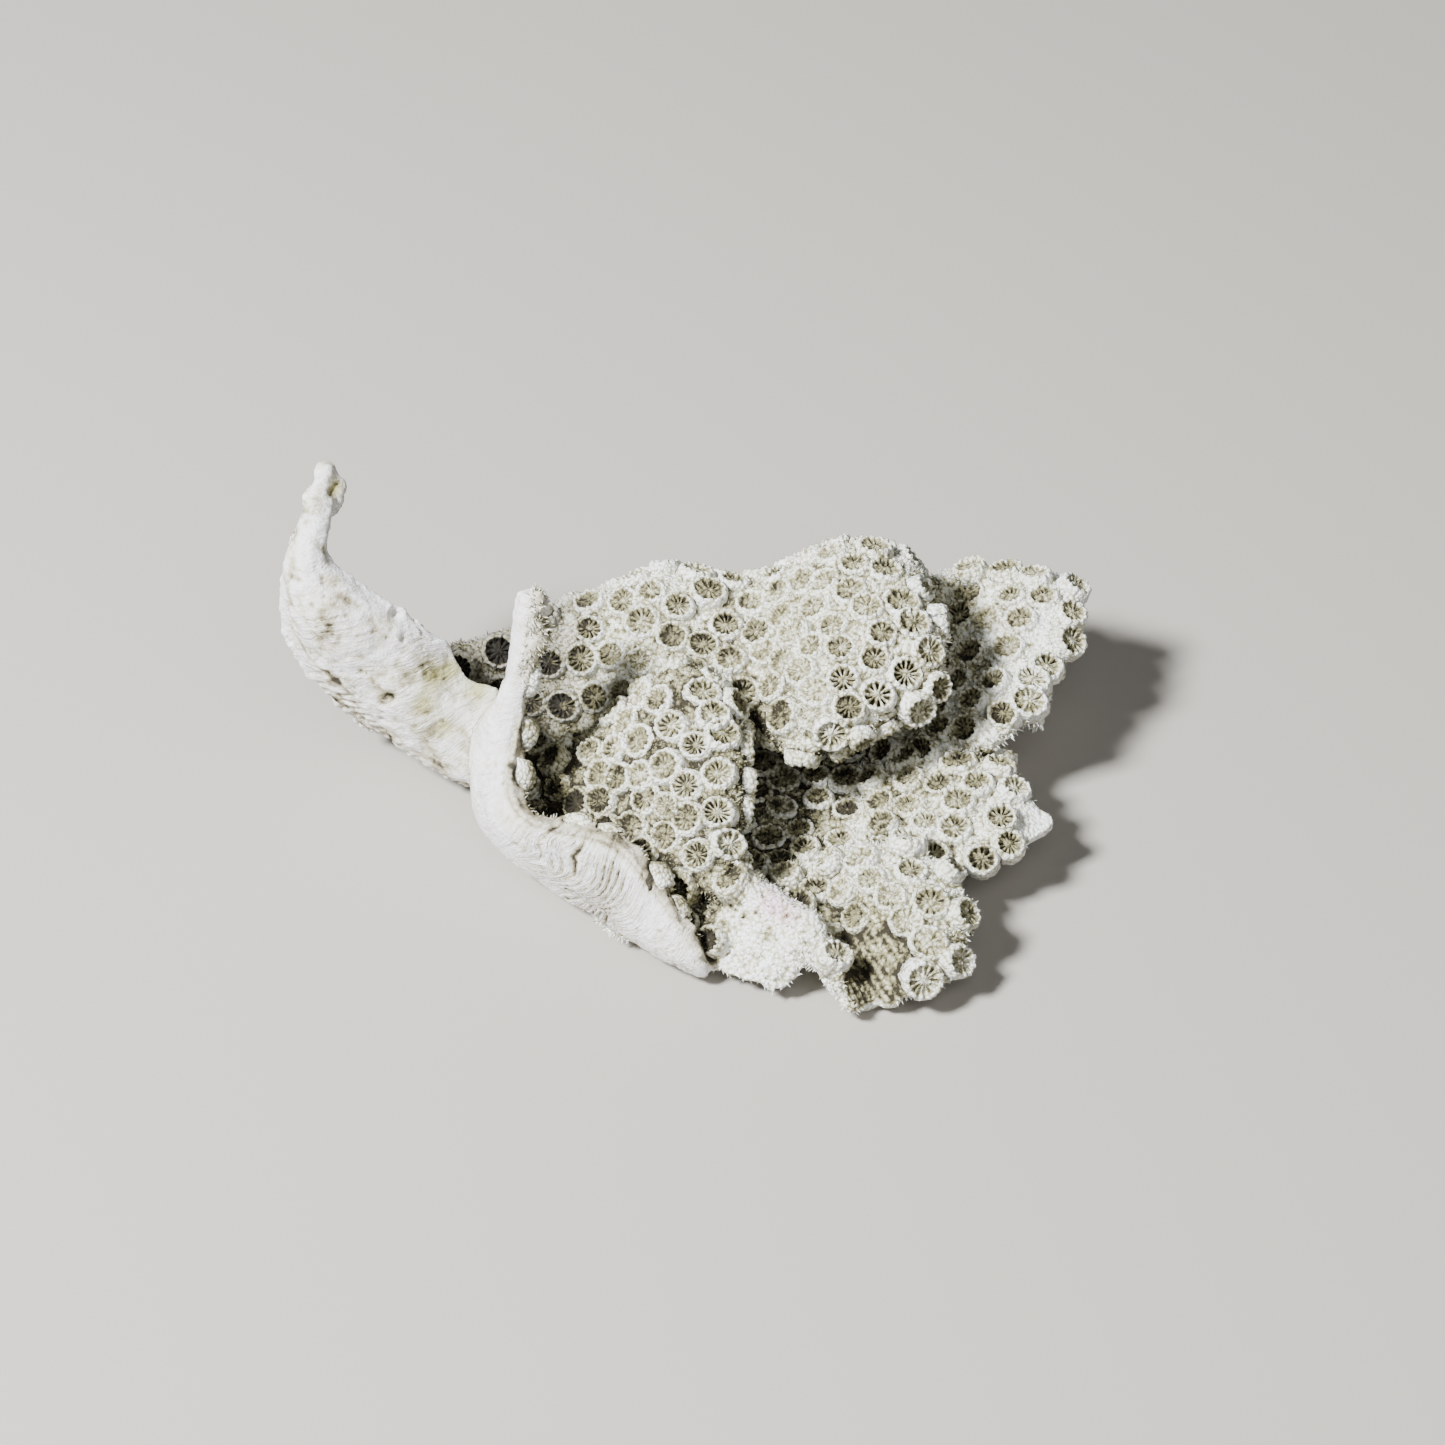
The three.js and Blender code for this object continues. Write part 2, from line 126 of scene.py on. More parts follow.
INNER_FROND = [
    [[-24, 12, 4], [-15, 14, 7], [-8, 15, 11.5], [-1.5, 13, 12.5], [0.6, 12, 9.5]],
    [[-25, 10, 4], [-15.5, 11, 9.8], [-7.8, 10.5, 18.3], [-1.8, 8.5, 17.3], [-0.8, 8.5, 12.5]],
    [[-25, 6, 3.5], [-16, 2.5, 8.8], [-8, 0, 13.8], [-1.7, -3, 15.2], [-1, -2.5, 11]],
    [[-20, -3, 3], [-12, -7, 6.5], [-6, -11.3, 8.8], [-2.2, -12, 10.6], [-1.4, -11, 7.5]],
    [[-16, -9, 2.6], [-10, -13, 4.2], [-5.2, -15, 6], [-2.4, -15.6, 7], [-1.4, -14.3, 5]],
]
UPPER_RIGHT_LOBE = [
    [[14, 31, 7], [24, 36.3, 12], [33, 36.3, 14], [40.6, 32.8, 15.4], [43, 29.6, 14.2]],
    [[16, 23, 5], [26, 25.5, 9.8], [34, 28, 14.5], [40.6, 27.5, 15.9], [42.6, 25, 14]],
    [[17, 16, 4], [27, 18, 9], [33, 19.5, 13], [37.7, 18.5, 14.2], [39.7, 17, 12.5]],
    [[17, 10, 4], [24, 8, 7.2], [31, 7.6, 10.5], [35, 9.6, 11.8], [37, 11, 10.6]],
]
MIDDLE_RIGHT_LOBE = [
    [[15, 10, 4], [23, 11, 5.5], [29, 11, 6], [33, 9, 6]],
    [[15, 3, 4.5], [24, 3, 7.2], [30.5, 3, 8.3], [34.3, 2.5, 8]],
    [[14, -4, 4.5], [22, -5, 6.6], [30, -4, 7.4], [38.3, -3.8, 7.4]],
    [[14, -8, 4.5], [21, -9.5, 5.4], [26.8, -11.2, 5.4], [31.5, -7.6, 6.4]],
]
LOWER_RIGHT_LOBE = [
    [[3, -8, 2.6], [9, -7, 3.6], [16, -7.5, 7.6], [21.5, -8.7, 8], [24.3, -11.5, 7]],
    [[5.5, -15, 3.2], [10.5, -15, 3], [16.5, -16, 7.4], [22.5, -16.5, 8], [26.4, -17.6, 6.6]],
    [[8.6, -25.4, 6.4], [12.8, -22.5, 2.2], [17.3, -23, 4.2], [22.6, -22.6, 5.8], [25.8, -21.2, 5.4]],
    [[12.8, -30, 1.9], [15.6, -28.4, 1.5], [18.6, -28.2, 2.2], [21.8, -26.4, 3.2], [25.2, -24, 4]],
]
FRONT_FOLD = [
    [[-7, -15, 2.2], [-3, -12.5, 5], [-0.2, -11.5, 7], [3, -10, 4.5]],
    [[-5.5, -19.5, 2], [-2.2, -17.5, 5.4], [0.8, -15.6, 8.4], [4.2, -14, 6]],
    [[-3.5, -22.8, 1.9], [1, -21, 5], [6, -19.6, 8.2], [8.6, -18, 5.4]],
    [[0.5, -25, 2], [4.6, -23.6, 4.6], [8.4, -22, 7.8], [10.4, -20.6, 5]],
    [[4.9, -25.8, 2.2], [7.2, -25, 4.4], [9.4, -24, 6.6], [11, -22.8, 4.6]],
]
NETS = {
    "base_plate": BASE_PLATE,
    "horn_frond": HORN,
    "left_fold": FOLD,
    "back_frond": BACK_FROND,
    "inner_frond": INNER_FROND,
    "upper_right_lobe": UPPER_RIGHT_LOBE,
    "middle_right_lobe": MIDDLE_RIGHT_LOBE,
    "lower_right_lobe": LOWER_RIGHT_LOBE,
    "front_fold": FRONT_FOLD,
}
PLATES = list(NETS)
NETS = {name: np.array(net, float) for name, net in NETS.items()}
print(len(PLATES), "plates")

# %% [markdown]
# A curve through points needs one extra point at each end, and here each end runs on straight. The
# same function works for rows and for columns, because it only blends along the first axis.

# %% Smooth surface through a net
def along(points, t):
    """Catmull-Rom blend of an array of points along its first axis, one result for each t."""
    spans = len(points) - 1
    padded = np.concatenate([[2 * points[0] - points[1]], points, [2 * points[-1] - points[-2]]])
    i = np.clip(np.floor(t * spans).astype(int), 0, spans - 1)
    f = t * spans - i
    weights = [
        -0.5 * f + f**2 - 0.5 * f**3,
        1 - 2.5 * f**2 + 1.5 * f**3,
        0.5 * f + 2 * f**2 - 1.5 * f**3,
        -0.5 * f**2 + 0.5 * f**3,
    ]
    tail = (1,) * (points.ndim - 1)
    return sum(w.reshape(-1, *tail) * padded[i + k] for k, w in enumerate(weights))


def grid(net, u, v):
    """The points of a plate's middle surface for all pairs of u and v."""
    columns = along(net, u)
    return np.swapaxes(along(np.swapaxes(columns, 0, 1), v), 0, 1)


TINY = 1e-9


def unit(vectors):
    return vectors / np.maximum(np.linalg.norm(vectors, axis=-1, keepdims=True), TINY)


def grid_normals(points):
    """The upper side's direction at each point of a grid."""
    du = np.gradient(points, axis=0)
    dv = np.gradient(points, axis=1)
    return unit(np.cross(du, dv))


LENGTH_SAMPLES = 21


def net_size(net):
    """How long a plate is across its rows and along them, in mm."""
    t = np.linspace(0, 1, LENGTH_SAMPLES)
    middle = np.array([0.5])
    return [
        np.linalg.norm(np.diff(grid(net, t, middle)[:, 0], axis=0), axis=1).sum(),
        np.linalg.norm(np.diff(grid(net, middle, t)[0], axis=0), axis=1).sum(),
    ]


SIZES = {name: net_size(net) for name, net in NETS.items()}
for name, (across, lengthways) in SIZES.items():
    print(f"{name}: {across:.0f} by {lengthways:.0f} mm")

# %% [markdown]
# Nature is never even, so almost every step below needs noise. This is value noise: random numbers
# on a lattice of cells, blended between the corners. The numbers come from a seed, so that the
# coral is the same in every run. Octaves of it at half the size each make it rough.

# %% Noise
LATTICE = 64


def value_noise(points, cell, seed):
    """Smooth noise from -1 to 1, with cells of the given size in mm."""
    values = np.random.default_rng(seed).uniform(-1, 1, (LATTICE, LATTICE, LATTICE))
    scaled = points / cell
    corner = np.floor(scaled).astype(int)
    f = scaled - corner
    f = f * f * (3 - 2 * f)
    total = np.zeros(len(points))
    for dx in (0, 1):
        for dy in (0, 1):
            for dz in (0, 1):
                i, j, k = ((corner + (dx, dy, dz)) % LATTICE).T
                near_x, near_y, near_z = np.abs((1 - dx, 1 - dy, 1 - dz) - f).T
                total += near_x * near_y * near_z * values[i, j, k]
    return total


def rough_noise(points, cell, seed, octaves=3):
    """Value noise with finer and weaker noise added on top."""
    return sum(value_noise(points, cell / 2**k, seed + k) / 2**k for k in range(octaves))


def smooth_step(x, low, high):
    t = np.clip((x - low) / (high - low), 0, 1)
    return t * t * (3 - 2 * t)


# %% [markdown]
# Each plate first becomes a closed sheet: an upper and a lower layer with a strip around the rim.
# The rim wanders in and out by up to about a millimetre, as a worn or broken edge does, and the
# sheet thins towards it. The sheets pass into each other at the forks, which the next step needs.
# A solidify modifier could thicken the sheets too, but it knows nothing of the distance to the rim.

# %% Closed sheets
SHEET_STEP = 0.8
FEWEST_POINTS = 6
THICKNESS = 2.7
# The thickness at the rim, and the width of the band over which a sheet thins towards it.
RIM_THICKNESS = {"horn_frond": 0.8, "left_fold": 1.9, "lower_right_lobe": 2.1, "front_fold": 1.1}
LOBE_RIM_THICKNESS = 1.6
RIM_TAPER = 5.0
# How far the rim wanders, how far it is moved outwards as a whole, and how wide its waves are.
RIM_WANDER = {"horn_frond": 0.5, "left_fold": 0.3, "front_fold": 0.5}
LOBE_RIM_WANDER = 1.3
RIM_REACH = {"horn_frond": 0.5}
LOBE_RIM_REACH = -0.2
RIM_WAVE = 4.6
# How far inside its rim a point looks to tell which way is outwards, as a share of the plate.
INWARDS = 0.06
SHEET_SEED = 100


def plate_grid(name, step):
    """The points, normals and distances to the rim of a plate, on a grid with the given step in mm."""
    net = NETS[name]
    size = SIZES[name]
    u, v = [np.linspace(0, 1, max(FEWEST_POINTS, round(length / step))) for length in size]
    points = grid(net, u, v)
    distance = np.minimum(
        np.minimum(u, 1 - u)[:, None] * size[0],
        np.minimum(v, 1 - v)[None, :] * size[1],
    )
    return points, grid_normals(points), distance, u, v


def outwards_of(name, points, u, v):
    """At each point of a plate's grid the direction to its nearest rim."""
    further_in = [INWARDS + (1 - 2 * INWARDS) * t for t in (u, v)]
    return unit(points - grid(NETS[name], *further_in))


def closed_sheet(name, seed):
    points, normals, distance, u, v = plate_grid(name, SHEET_STEP)
    flat = points.reshape(-1, 3)
    near_rim = 1 - smooth_step(distance, 0, RIM_TAPER)
    wander = rough_noise(flat, RIM_WAVE, seed).reshape(distance.shape)
    wander = wander * RIM_WANDER.get(name, LOBE_RIM_WANDER) + RIM_REACH.get(name, LOBE_RIM_REACH)
    points = points + outwards_of(name, points, u, v) * (near_rim * wander)[..., None]
    thin = RIM_THICKNESS.get(name, LOBE_RIM_THICKNESS)
    half = 0.5 * (thin + (THICKNESS - thin) * smooth_step(distance, 0, RIM_TAPER))
    layers = [points + normals * half[..., None], points - normals * half[..., None]]
    vertices = np.concatenate([layer.reshape(-1, 3) for layer in layers])
    nu, nv = distance.shape
    index = np.arange(nu * nv).reshape(nu, nv)
    a, b, c, d = index[:-1, :-1], index[1:, :-1], index[1:, 1:], index[:-1, 1:]
    upper = np.stack([a, b, c, d], -1).reshape(-1, 4)
    lower = np.stack([d, c, b, a], -1).reshape(-1, 4) + nu * nv
    ring = np.concatenate([index[:-1, 0], index[-1, :-1], index[:0:-1, -1], index[0, :0:-1]])
    after = np.roll(ring, -1)
    strip = np.stack([after, ring, ring + nu * nv, after + nu * nv], -1)
    return vertices, np.concatenate([upper, lower, strip])


sheets = [closed_sheet(name, SHEET_SEED + k) for k, name in enumerate(PLATES)]
print("sheet faces:", sum(len(faces) for _, faces in sheets))

# %% [markdown]
# The skeleton grew as one piece, so the sheets have to become one skin. A boolean join would keep
# hard creases at the forks. A voxel remesh joins closed shapes on a grid of small cubes and gives
# one even skin of squares, which is also what fine displacement wants. The flat scar underneath is
# a low stub under the base plate, whose foot is cut by the table at height zero.

# %% One skin over all the plates
VOXEL = 0.31
SCAR = [[-15, -4], [-9, -9], [-1, -8], [7, -9], [12, -2], [12, 8], [5, 15], [-6, 15], [-14, 9]]
SCAR_HEIGHT = 2.6
# The lumps on the horn's tip, as centres and radii.
KNOBS = [((-50.6, 26.8, 37.8), 1.5), ((-49.2, 26.2, 36.6), 1.3), ((-49.4, 25.4, 34.6), 1.1)]


def raw_mesh(name, vertices, faces):
    mesh = bpy.data.meshes.new(name)
    mesh.from_pydata(np.asarray(vertices).tolist(), [], [list(map(int, face)) for face in faces])
    return mesh


def prism(outline, low, high):
    """A closed block over an outline."""
    n = len(outline)
    vertices = [(x, y, low) for x, y in outline] + [(x, y, high) for x, y in outline]
    sides = [(i, (i + 1) % n, n + (i + 1) % n, n + i) for i in range(n)]
    return vertices, [tuple(range(n - 1, -1, -1)), tuple(range(n, 2 * n)), *sides]


def join_by_voxels(shapes, voxel):
    """One skin over overlapping closed shapes, as arrays of vertices and of square faces."""
    vertices, faces, start = [], [], 0
    for shape_vertices, shape_faces in shapes:
        vertices.extend(np.asarray(shape_vertices).tolist())
        faces.extend([start + int(i) for i in face] for face in shape_faces)
        start += len(shape_vertices)
    thing = bpy.data.objects.new("skin", raw_mesh("skin", vertices, faces))
    bpy.context.scene.collection.objects.link(thing)
    remesh = thing.modifiers.new("remesh", "REMESH")
    remesh.mode = "VOXEL"
    remesh.voxel_size = voxel
    evaluated = thing.evaluated_get(bpy.context.evaluated_depsgraph_get())
    mesh = evaluated.to_mesh()
    joined = np.empty(len(mesh.vertices) * 3)
    mesh.vertices.foreach_get("co", joined)
    corners = np.empty(len(mesh.loops), int)
    mesh.loops.foreach_get("vertex_index", corners)
    evaluated.to_mesh_clear()
    bpy.data.objects.remove(thing)
    return joined.reshape(-1, 3), corners.reshape(-1, 4)


def knob(centre, radius, sides=10):
    """A small ball, for the lumps on the horn's tip."""
    rows = [(0, 0, -1)]
    for k in range(1, sides // 2):
        tilt = math.pi * k / (sides // 2) - math.pi / 2
        for j in range(sides):
            turn = math.tau * j / sides
            out = math.cos(tilt)
            rows.append((out * math.cos(turn), out * math.sin(turn), math.sin(tilt)))
    rows.append((0, 0, 1))
    faces = [(0, 1 + (j + 1) % sides, 1 + j) for j in range(sides)]
    for k in range(sides // 2 - 2):
        a, b = 1 + k * sides, 1 + (k + 1) * sides
        faces += [(a + j, a + (j + 1) % sides, b + (j + 1) % sides, b + j) for j in range(sides)]
    last = len(rows) - 1
    faces += [(last, last - sides + j, last - sides + (j + 1) % sides) for j in range(sides)]
    return np.array(centre) + radius * np.array(rows), faces


lumps = [knob(centre, radius) for centre, radius in KNOBS]
skin, squares = join_by_voxels([*sheets, *lumps, prism(SCAR, 0, SCAR_HEIGHT)], VOXEL)
print("skin:", len(skin), "vertices")

# %% [markdown]
# The skin has to know where it is on the coral: on which plate, on the side with the cups or on the
# bare underside, and how far from the rim. Each skin vertex looks up the nearest point of a plate's
# middle surface in a search tree. The height above that surface says which side it is on.

# %% Where each point of the skin lies
SAMPLE_STEP = 0.7
LEAST_AREA = 1e-3
NEIGHBOURS = 14
FAR_AWAY = 99.0


def plate_samples(name):
    points, normals, distance, u, v = plate_grid(name, SAMPLE_STEP)
    across, along_row = [t * length for t, length in zip((u, v), SIZES[name])]
    du = np.gradient(points, across, axis=0)
    dv = np.gradient(points, along_row, axis=1)
    e, f, g = (du * du).sum(-1), (du * dv).sum(-1), (dv * dv).sum(-1)
    area = np.maximum(e * g - f * f, LEAST_AREA)
    to_across = (g[..., None] * du - f[..., None] * dv) / area[..., None]
    to_along = (e[..., None] * dv - f[..., None] * du) / area[..., None]
    uu, vv = np.meshgrid(across, along_row, indexing="ij")
    vectors = [points, normals, outwards_of(name, points, u, v), to_across, to_along]
    return [x.reshape(-1, 3) for x in vectors] + [distance.ravel(), uu.ravel(), vv.ravel()]


samples = [plate_samples(name) for name in PLATES]
(
    sample_points, sample_normals, sample_outwards, sample_to_across, sample_to_along,
    sample_rim, sample_across, sample_along,
) = [np.concatenate(columns) for columns in zip(*samples)]
sample_plate = np.concatenate([np.full(len(part[0]), k) for k, part in enumerate(samples)])


def search_tree(points):
    tree = KDTree(len(points))
    for i, point in enumerate(points):
        tree.insert(point, i)
    tree.balance()
    return tree


plate_tree = search_tree(sample_points)


def look_up(points):
    """For each point the nearest sample, and the nearest other plate's distance."""
    nearest = np.empty(len(points), int)
    other = np.full(len(points), FAR_AWAY)
    for i, point in enumerate(points):
        found = plate_tree.find_n(point, NEIGHBOURS)
        nearest[i] = found[0][1]
        plate = sample_plate[nearest[i]]
        for _, k, distance in found[1:]:
            if sample_plate[k] != plate:
                other[i] = distance
                break
    return nearest, other


nearest, other = look_up(skin)
print("samples on the plates:", len(sample_points))

# %% [markdown]
# Where plates fork, the living coral fills the corner with skeleton. Averaging each vertex with its
# neighbours pulls a sharp corner into a fillet, so the places that are close to two plates get many
# rounds of it, and the rest only enough to remove the marks of the voxels.

# %% Fillets at the forks
# A point is fully at a fork if another plate is nearer than the first value, in mm, and not at all
# if it is farther than the second.
FORK_NEAR, FORK_FAR = 1.6, 3.2
FORK_BLUR_ROUNDS = 4
FORK_ROUNDS = 40
FORK_AMOUNT = 0.6
VOXEL_ROUNDS = 3
VOXEL_AMOUNT = 0.5

square_sides = np.concatenate([squares[:, [k, (k + 1) % 4]] for k in range(4)])
edges = np.unique(np.sort(square_sides, axis=1), axis=0)
degree = np.bincount(edges.ravel(), minlength=len(skin))[:, None]


def relax(points, amount):
    """One round of averaging with the neighbours, by an amount from 0 to 1 for each point."""
    total = np.zeros_like(points)
    for axis in range(points.shape[1]):
        total[:, axis] = np.bincount(edges[:, 0], points[edges[:, 1], axis], len(points))
        total[:, axis] += np.bincount(edges[:, 1], points[edges[:, 0], axis], len(points))
    return points + amount * (total / degree - points)


def blurred(values, rounds, amount):
    """A mask on the skin, averaged with its neighbours a number of times."""
    column = values[:, None]
    for _ in range(rounds):
        column = relax(column, amount)
    return column[:, 0]


at_fork = blurred(1 - smooth_step(other, FORK_NEAR, FORK_FAR), FORK_BLUR_ROUNDS, 1.0)[:, None]
for _ in range(VOXEL_ROUNDS):
    skin = relax(skin, VOXEL_AMOUNT)
for _ in range(FORK_ROUNDS):
    skin = relax(skin, FORK_AMOUNT * at_fork)

nearest, other = look_up(skin)
side = ((skin - sample_points[nearest]) * sample_normals[nearest]).sum(1) / (0.5 * THICKNESS)
rim = sample_rim[nearest]
plate_of = sample_plate[nearest]
from_sample = skin - sample_points[nearest]
across_mm = sample_across[nearest] + (from_sample * sample_to_across[nearest]).sum(1)
along_mm = sample_along[nearest] + (from_sample * sample_to_along[nearest]).sum(1)


def vertex_normals(points):
    a, b, c, d = [points[squares[:, k]] for k in range(4)]
    face_normals = np.cross(c - a, d - b)
    total = np.zeros_like(points)
    for axis in range(3):
        for k in range(4):
            total[:, axis] += np.bincount(squares[:, k], face_normals[:, axis], len(points))
    return unit(total)


normals = vertex_normals(skin)
print("upper side:", int((side > 0.5).sum()), "underside:", int((side < -0.5).sum()))

# %% [markdown]
# Much of the detail is placed where the photograph shows it. Each place is a point in the picture,
# in pixels, and a ray from the camera through that point finds the skin. A soft round mask around
# the place then makes a dent, a stain or a bare spot. Sculpting by eye would do as well, but a list
# of picture points is easy to check against the photograph.

# %% From picture points to the skin
SPOT_FALLOFF = 1.2

skin_bvh = BVHTree.FromPolygons([Vector(p) for p in skin], squares.tolist())
skin_tree = search_tree(skin)


def through_pixel(px, py):
    """Where the camera's ray through a pixel meets the skin, or None."""
    right = np.array([1.0, 0, 0])
    up = np.cross(right, FORWARD)
    ray = (
        FORWARD * CAMERA_DISTANCE
        + right * (px - PHOTO_SIDE / 2) / PIXELS_PER_MM
        - up * (py - PHOTO_SIDE / 2) / PIXELS_PER_MM
    )
    return skin_bvh.ray_cast(Vector(camera_place), Vector(unit(ray)))[0]


def spot(pixel, radius):
    """A soft round mask on the skin, around the place that a picture point shows."""
    mask = np.zeros(len(skin))
    place = through_pixel(*pixel)
    if place is not None:
        for _, k, distance in skin_tree.find_range(place, 2 * radius):
            mask[k] = math.exp(-SPOT_FALLOFF * (distance / radius) ** 2)
    return mask


def spots(places):
    """One mask for a list of picture points with radii."""
    return np.clip(sum(spot(*place) for place in places), 0, 1)


print("the middle of the picture shows", through_pixel(PHOTO_SIDE / 2, PHOTO_SIDE / 2))

# %% [markdown]
# Two places on the right-hand lobes carry no corallites: a groove that runs down to the front rim,
# and a bare tooth. Both are masks, because the later steps shape and colour them too.

# %% Bare places on the lobes
GROOVE_PLACE = np.array([15.6, -24.6])
GROOVE_RADIUS = 5.6
GROOVE_STRETCH = (1.0, 0.75)
GROOVE_FLOOR = 0.6
BARE_TOOTH = (1040, 822)
BARE_TOOTH_RADIUS = 3.7

to_groove = np.linalg.norm((skin[:, :2] - GROOVE_PLACE) * GROOVE_STRETCH, axis=1)
lower_lobe = plate_of == PLATES.index("lower_right_lobe")
groove = lower_lobe * (1 - smooth_step(to_groove, GROOVE_FLOOR * GROOVE_RADIUS, GROOVE_RADIUS))
tooth = smooth_step(spot(BARE_TOOTH, BARE_TOOTH_RADIUS), 0.2, 0.5)
print("points in the groove:", int((groove > 0.5).sum()), "on the tooth:", int((tooth > 0.5).sum()))

# %% [markdown]
# The corallites that can be told apart in the photograph come first. The rest are spread by dart
# throwing: a random free spot is taken, all spots nearer than one spacing are struck out, and so
# on, which gives the even disorder of a real colony. A particle system could scatter them, but it
# would leave neither the places nor the distances in the script's hands.

# %% Places of the corallites
SEEN_CORALLITES = [
    (845, 681), (907, 674), (876, 659), (942, 670), (867, 609), (901, 605), (913, 625), (854, 566),
    (886, 570), (815, 606), (879, 695), (816, 693), (812, 715), (803, 672), (773, 687), (601, 776),
    (643, 778), (617, 751), (689, 787), (718, 813), (634, 829), (665, 837), (699, 856), (696, 746),
    (713, 717), (703, 693), (659, 701), (672, 727), (719, 775), (605, 803), (769, 838), (806, 852),
    (961, 618), (1012, 598), (1073, 589), (1009, 649), (1033, 681), (1046, 668), (1027, 703),
    (1005, 716), (929, 753), (890, 757), (959, 802), (909, 808), (911, 873), (931, 905), (892, 898),
    (751, 866), (929, 944), (735, 884), (714, 941), (810, 554), (804, 581), (752, 604),
    (784, 618), (832, 627), (796, 633), (758, 633), (842, 648), (764, 652), (732, 662), (832, 733),
    (786, 717), (968, 595), (933, 595), (963, 619), (936, 623), (1011, 603), (983, 671), (976, 704),
    (1003, 737), (916, 707), (926, 752), (1001, 821), (955, 828), (979, 785), (722, 735), (719, 800),
    (706, 842), (690, 752), (640, 740), (668, 768), (648, 800), (690, 820), (612, 835),
]
# Corallites whose slits are painted black, as the shade in empty cups.
DARK_CORALLITES = [
    (879, 695), (942, 670), (907, 674), (1012, 598), (963, 619), (936, 623), (617, 751), (689, 787),
    (718, 813), (1001, 821), (806, 852), (845, 681), (751, 866), (699, 856), (672, 727), (696, 746),
    (1033, 681),
]
SPACING = 3.75
SPACING_SPREAD = (0.9, 1.12)
SEEN_SPACING = 3.4
LEAST_SPACING = 2.6
BLOCKED_SPACING = 0.3
EDGE_MARGIN = 0.8
TABLE_MARGIN = 1.5
ROOM_START, ROOM = 0.4, 2.2
NO_MORE_ON = PLATES.index("front_fold")


def room_above(vertex):
    """Whether a corallite on this vertex would have air above it."""
    start = Vector(skin[vertex] + normals[vertex] * ROOM_START)
    return skin_bvh.ray_cast(start, Vector(normals[vertex]), ROOM)[0] is None


def far_from_all(vertex, others):
    return all(np.linalg.norm(skin[vertex] - skin[k]) > LEAST_SPACING for k in others)


allowed = (side > 0.6) & (rim > EDGE_MARGIN) & (skin[:, 2] > TABLE_MARGIN) & (plate_of != NO_MORE_ON)
allowed &= (groove < 0.2) & (tooth < 0.1)
allowed &= (normals * sample_normals[nearest]).sum(1) > 0.6
chosen = []
for pixel in SEEN_CORALLITES:
    place = through_pixel(*pixel)
    if place is None:
        continue
    vertex = skin_tree.find(place)[1]
    if side[vertex] > 0.3 and far_from_all(vertex, chosen):
        chosen.append(vertex)
seen_count = len(chosen)

rng = np.random.default_rng(7)
candidates = rng.permutation(np.flatnonzero(allowed))
for k in chosen:
    candidates = candidates[np.linalg.norm(skin[candidates] - skin[k], axis=1) > SEEN_SPACING]
while len(candidates):
    k = candidates[0]
    spacing = SPACING * rng.uniform(*SPACING_SPREAD)
    if room_above(k):
        chosen.append(k)
    else:
        spacing = BLOCKED_SPACING
    candidates = candidates[np.linalg.norm(skin[candidates] - skin[k], axis=1) > spacing]
print("corallites:", len(chosen), "of them seen in the photograph:", seen_count)

# %% [markdown]
# Between the cups the surface isn't flat: it swells gently from cup to cup, and each cup stands on
# a low mound of its own. Cups near a rim stand tall and lean outwards, and those in the middle of a
# plate are nearly sunk in. Under each cup the skin is pushed down, so that the cup's own mesh,
# made further below, can be hollow. Cutting real holes into the skin would leave ragged edges.

# %% Shape of each corallite
# A calice's radius to the inside of its rim, and the width of the wall around it. Sizes vary a bit.
CALICE_RADIUS = 1.78
WALL = 0.35
FLAT_HEIGHT = 0.8
RIM_HEIGHT = 1.4
CALICE_DEPTH = 1.2
SEEN_GROWTH = 1.06
MOUND_REACH = 2.2
MOUND_SHARE = 0.35
FOOT_OFFSET = 0.3
FOOT_WIDTH = 0.3
CORE_MARGIN = 0.12
SUNK_DEPTH = min(CALICE_DEPTH + 0.1, 0.5 * THICKNESS)
# How dark the inside of a calice is, from 0 for white to 1 for black in its slits: tan dust,
# and painted shade that deepens down the slits.
DUST_AND_SHADE_RANGE = (0.5, 0.88)
LOWER_LOBE_DUST_AND_SHADE = 0.75
TAN_INSIDE, TAN_IN_DARK = 0.5, 0.05
# How deep the slits between the septa are, as a share of a calice that nothing fills.
OPEN_RANGE = (0.45, 0.85)
LOWER_LOBE_OPEN = 0.7
DARK_REACH = 1.5


def lean(vertex):
    """The direction a corallite points: off the skin, and a little outwards near a rim."""
    k = nearest[vertex]
    near_rim = math.exp(-rim[vertex] / 1.8)
    return unit(0.6 * normals[vertex] + sample_normals[k] + 1.3 * near_rim * sample_outwards[k])


dark_hits = [through_pixel(*pixel) for pixel in DARK_CORALLITES]
dark_places = [place for place in dark_hits if place is not None]


def make_corallites():
    cups = []
    for order, vertex in enumerate(chosen):
        chance = rng.uniform(size=5)
        near_rim = math.exp(-rim[vertex] / 3.0)
        seen = order < seen_count
        dark = any(np.linalg.norm(skin[vertex] - place) < DARK_REACH for place in dark_places)
        dust_share = LOWER_LOBE_DUST_AND_SHADE if lower_lobe[vertex] else 1
        open_share = LOWER_LOBE_OPEN if lower_lobe[vertex] else 1
        radius = CALICE_RADIUS * (0.82 + 0.25 * chance[0]) * (SEEN_GROWTH if seen else 1)
        height = FLAT_HEIGHT * (0.5 + 1.0 * chance[1]) + RIM_HEIGHT * near_rim * (0.5 + chance[2])
        cups.append({
            "plate": plate_of[vertex],
            "centre": skin[vertex],
            "axis": lean(vertex),
            "radius": radius,
            "height": height,
            "septa": int(rng.integers(10, 14)),
            "dust": 1.0 if dark else rng.uniform(*DUST_AND_SHADE_RANGE) * dust_share,
            "tan": TAN_IN_DARK if dark else TAN_INSIDE,
            "open": (1.0 if dark else rng.uniform(*OPEN_RANGE)) * open_share,
            "turn": chance[3] * math.tau,
            "squash": 1 - 0.18 * chance[4],
        })
    return cups


cups = make_corallites()


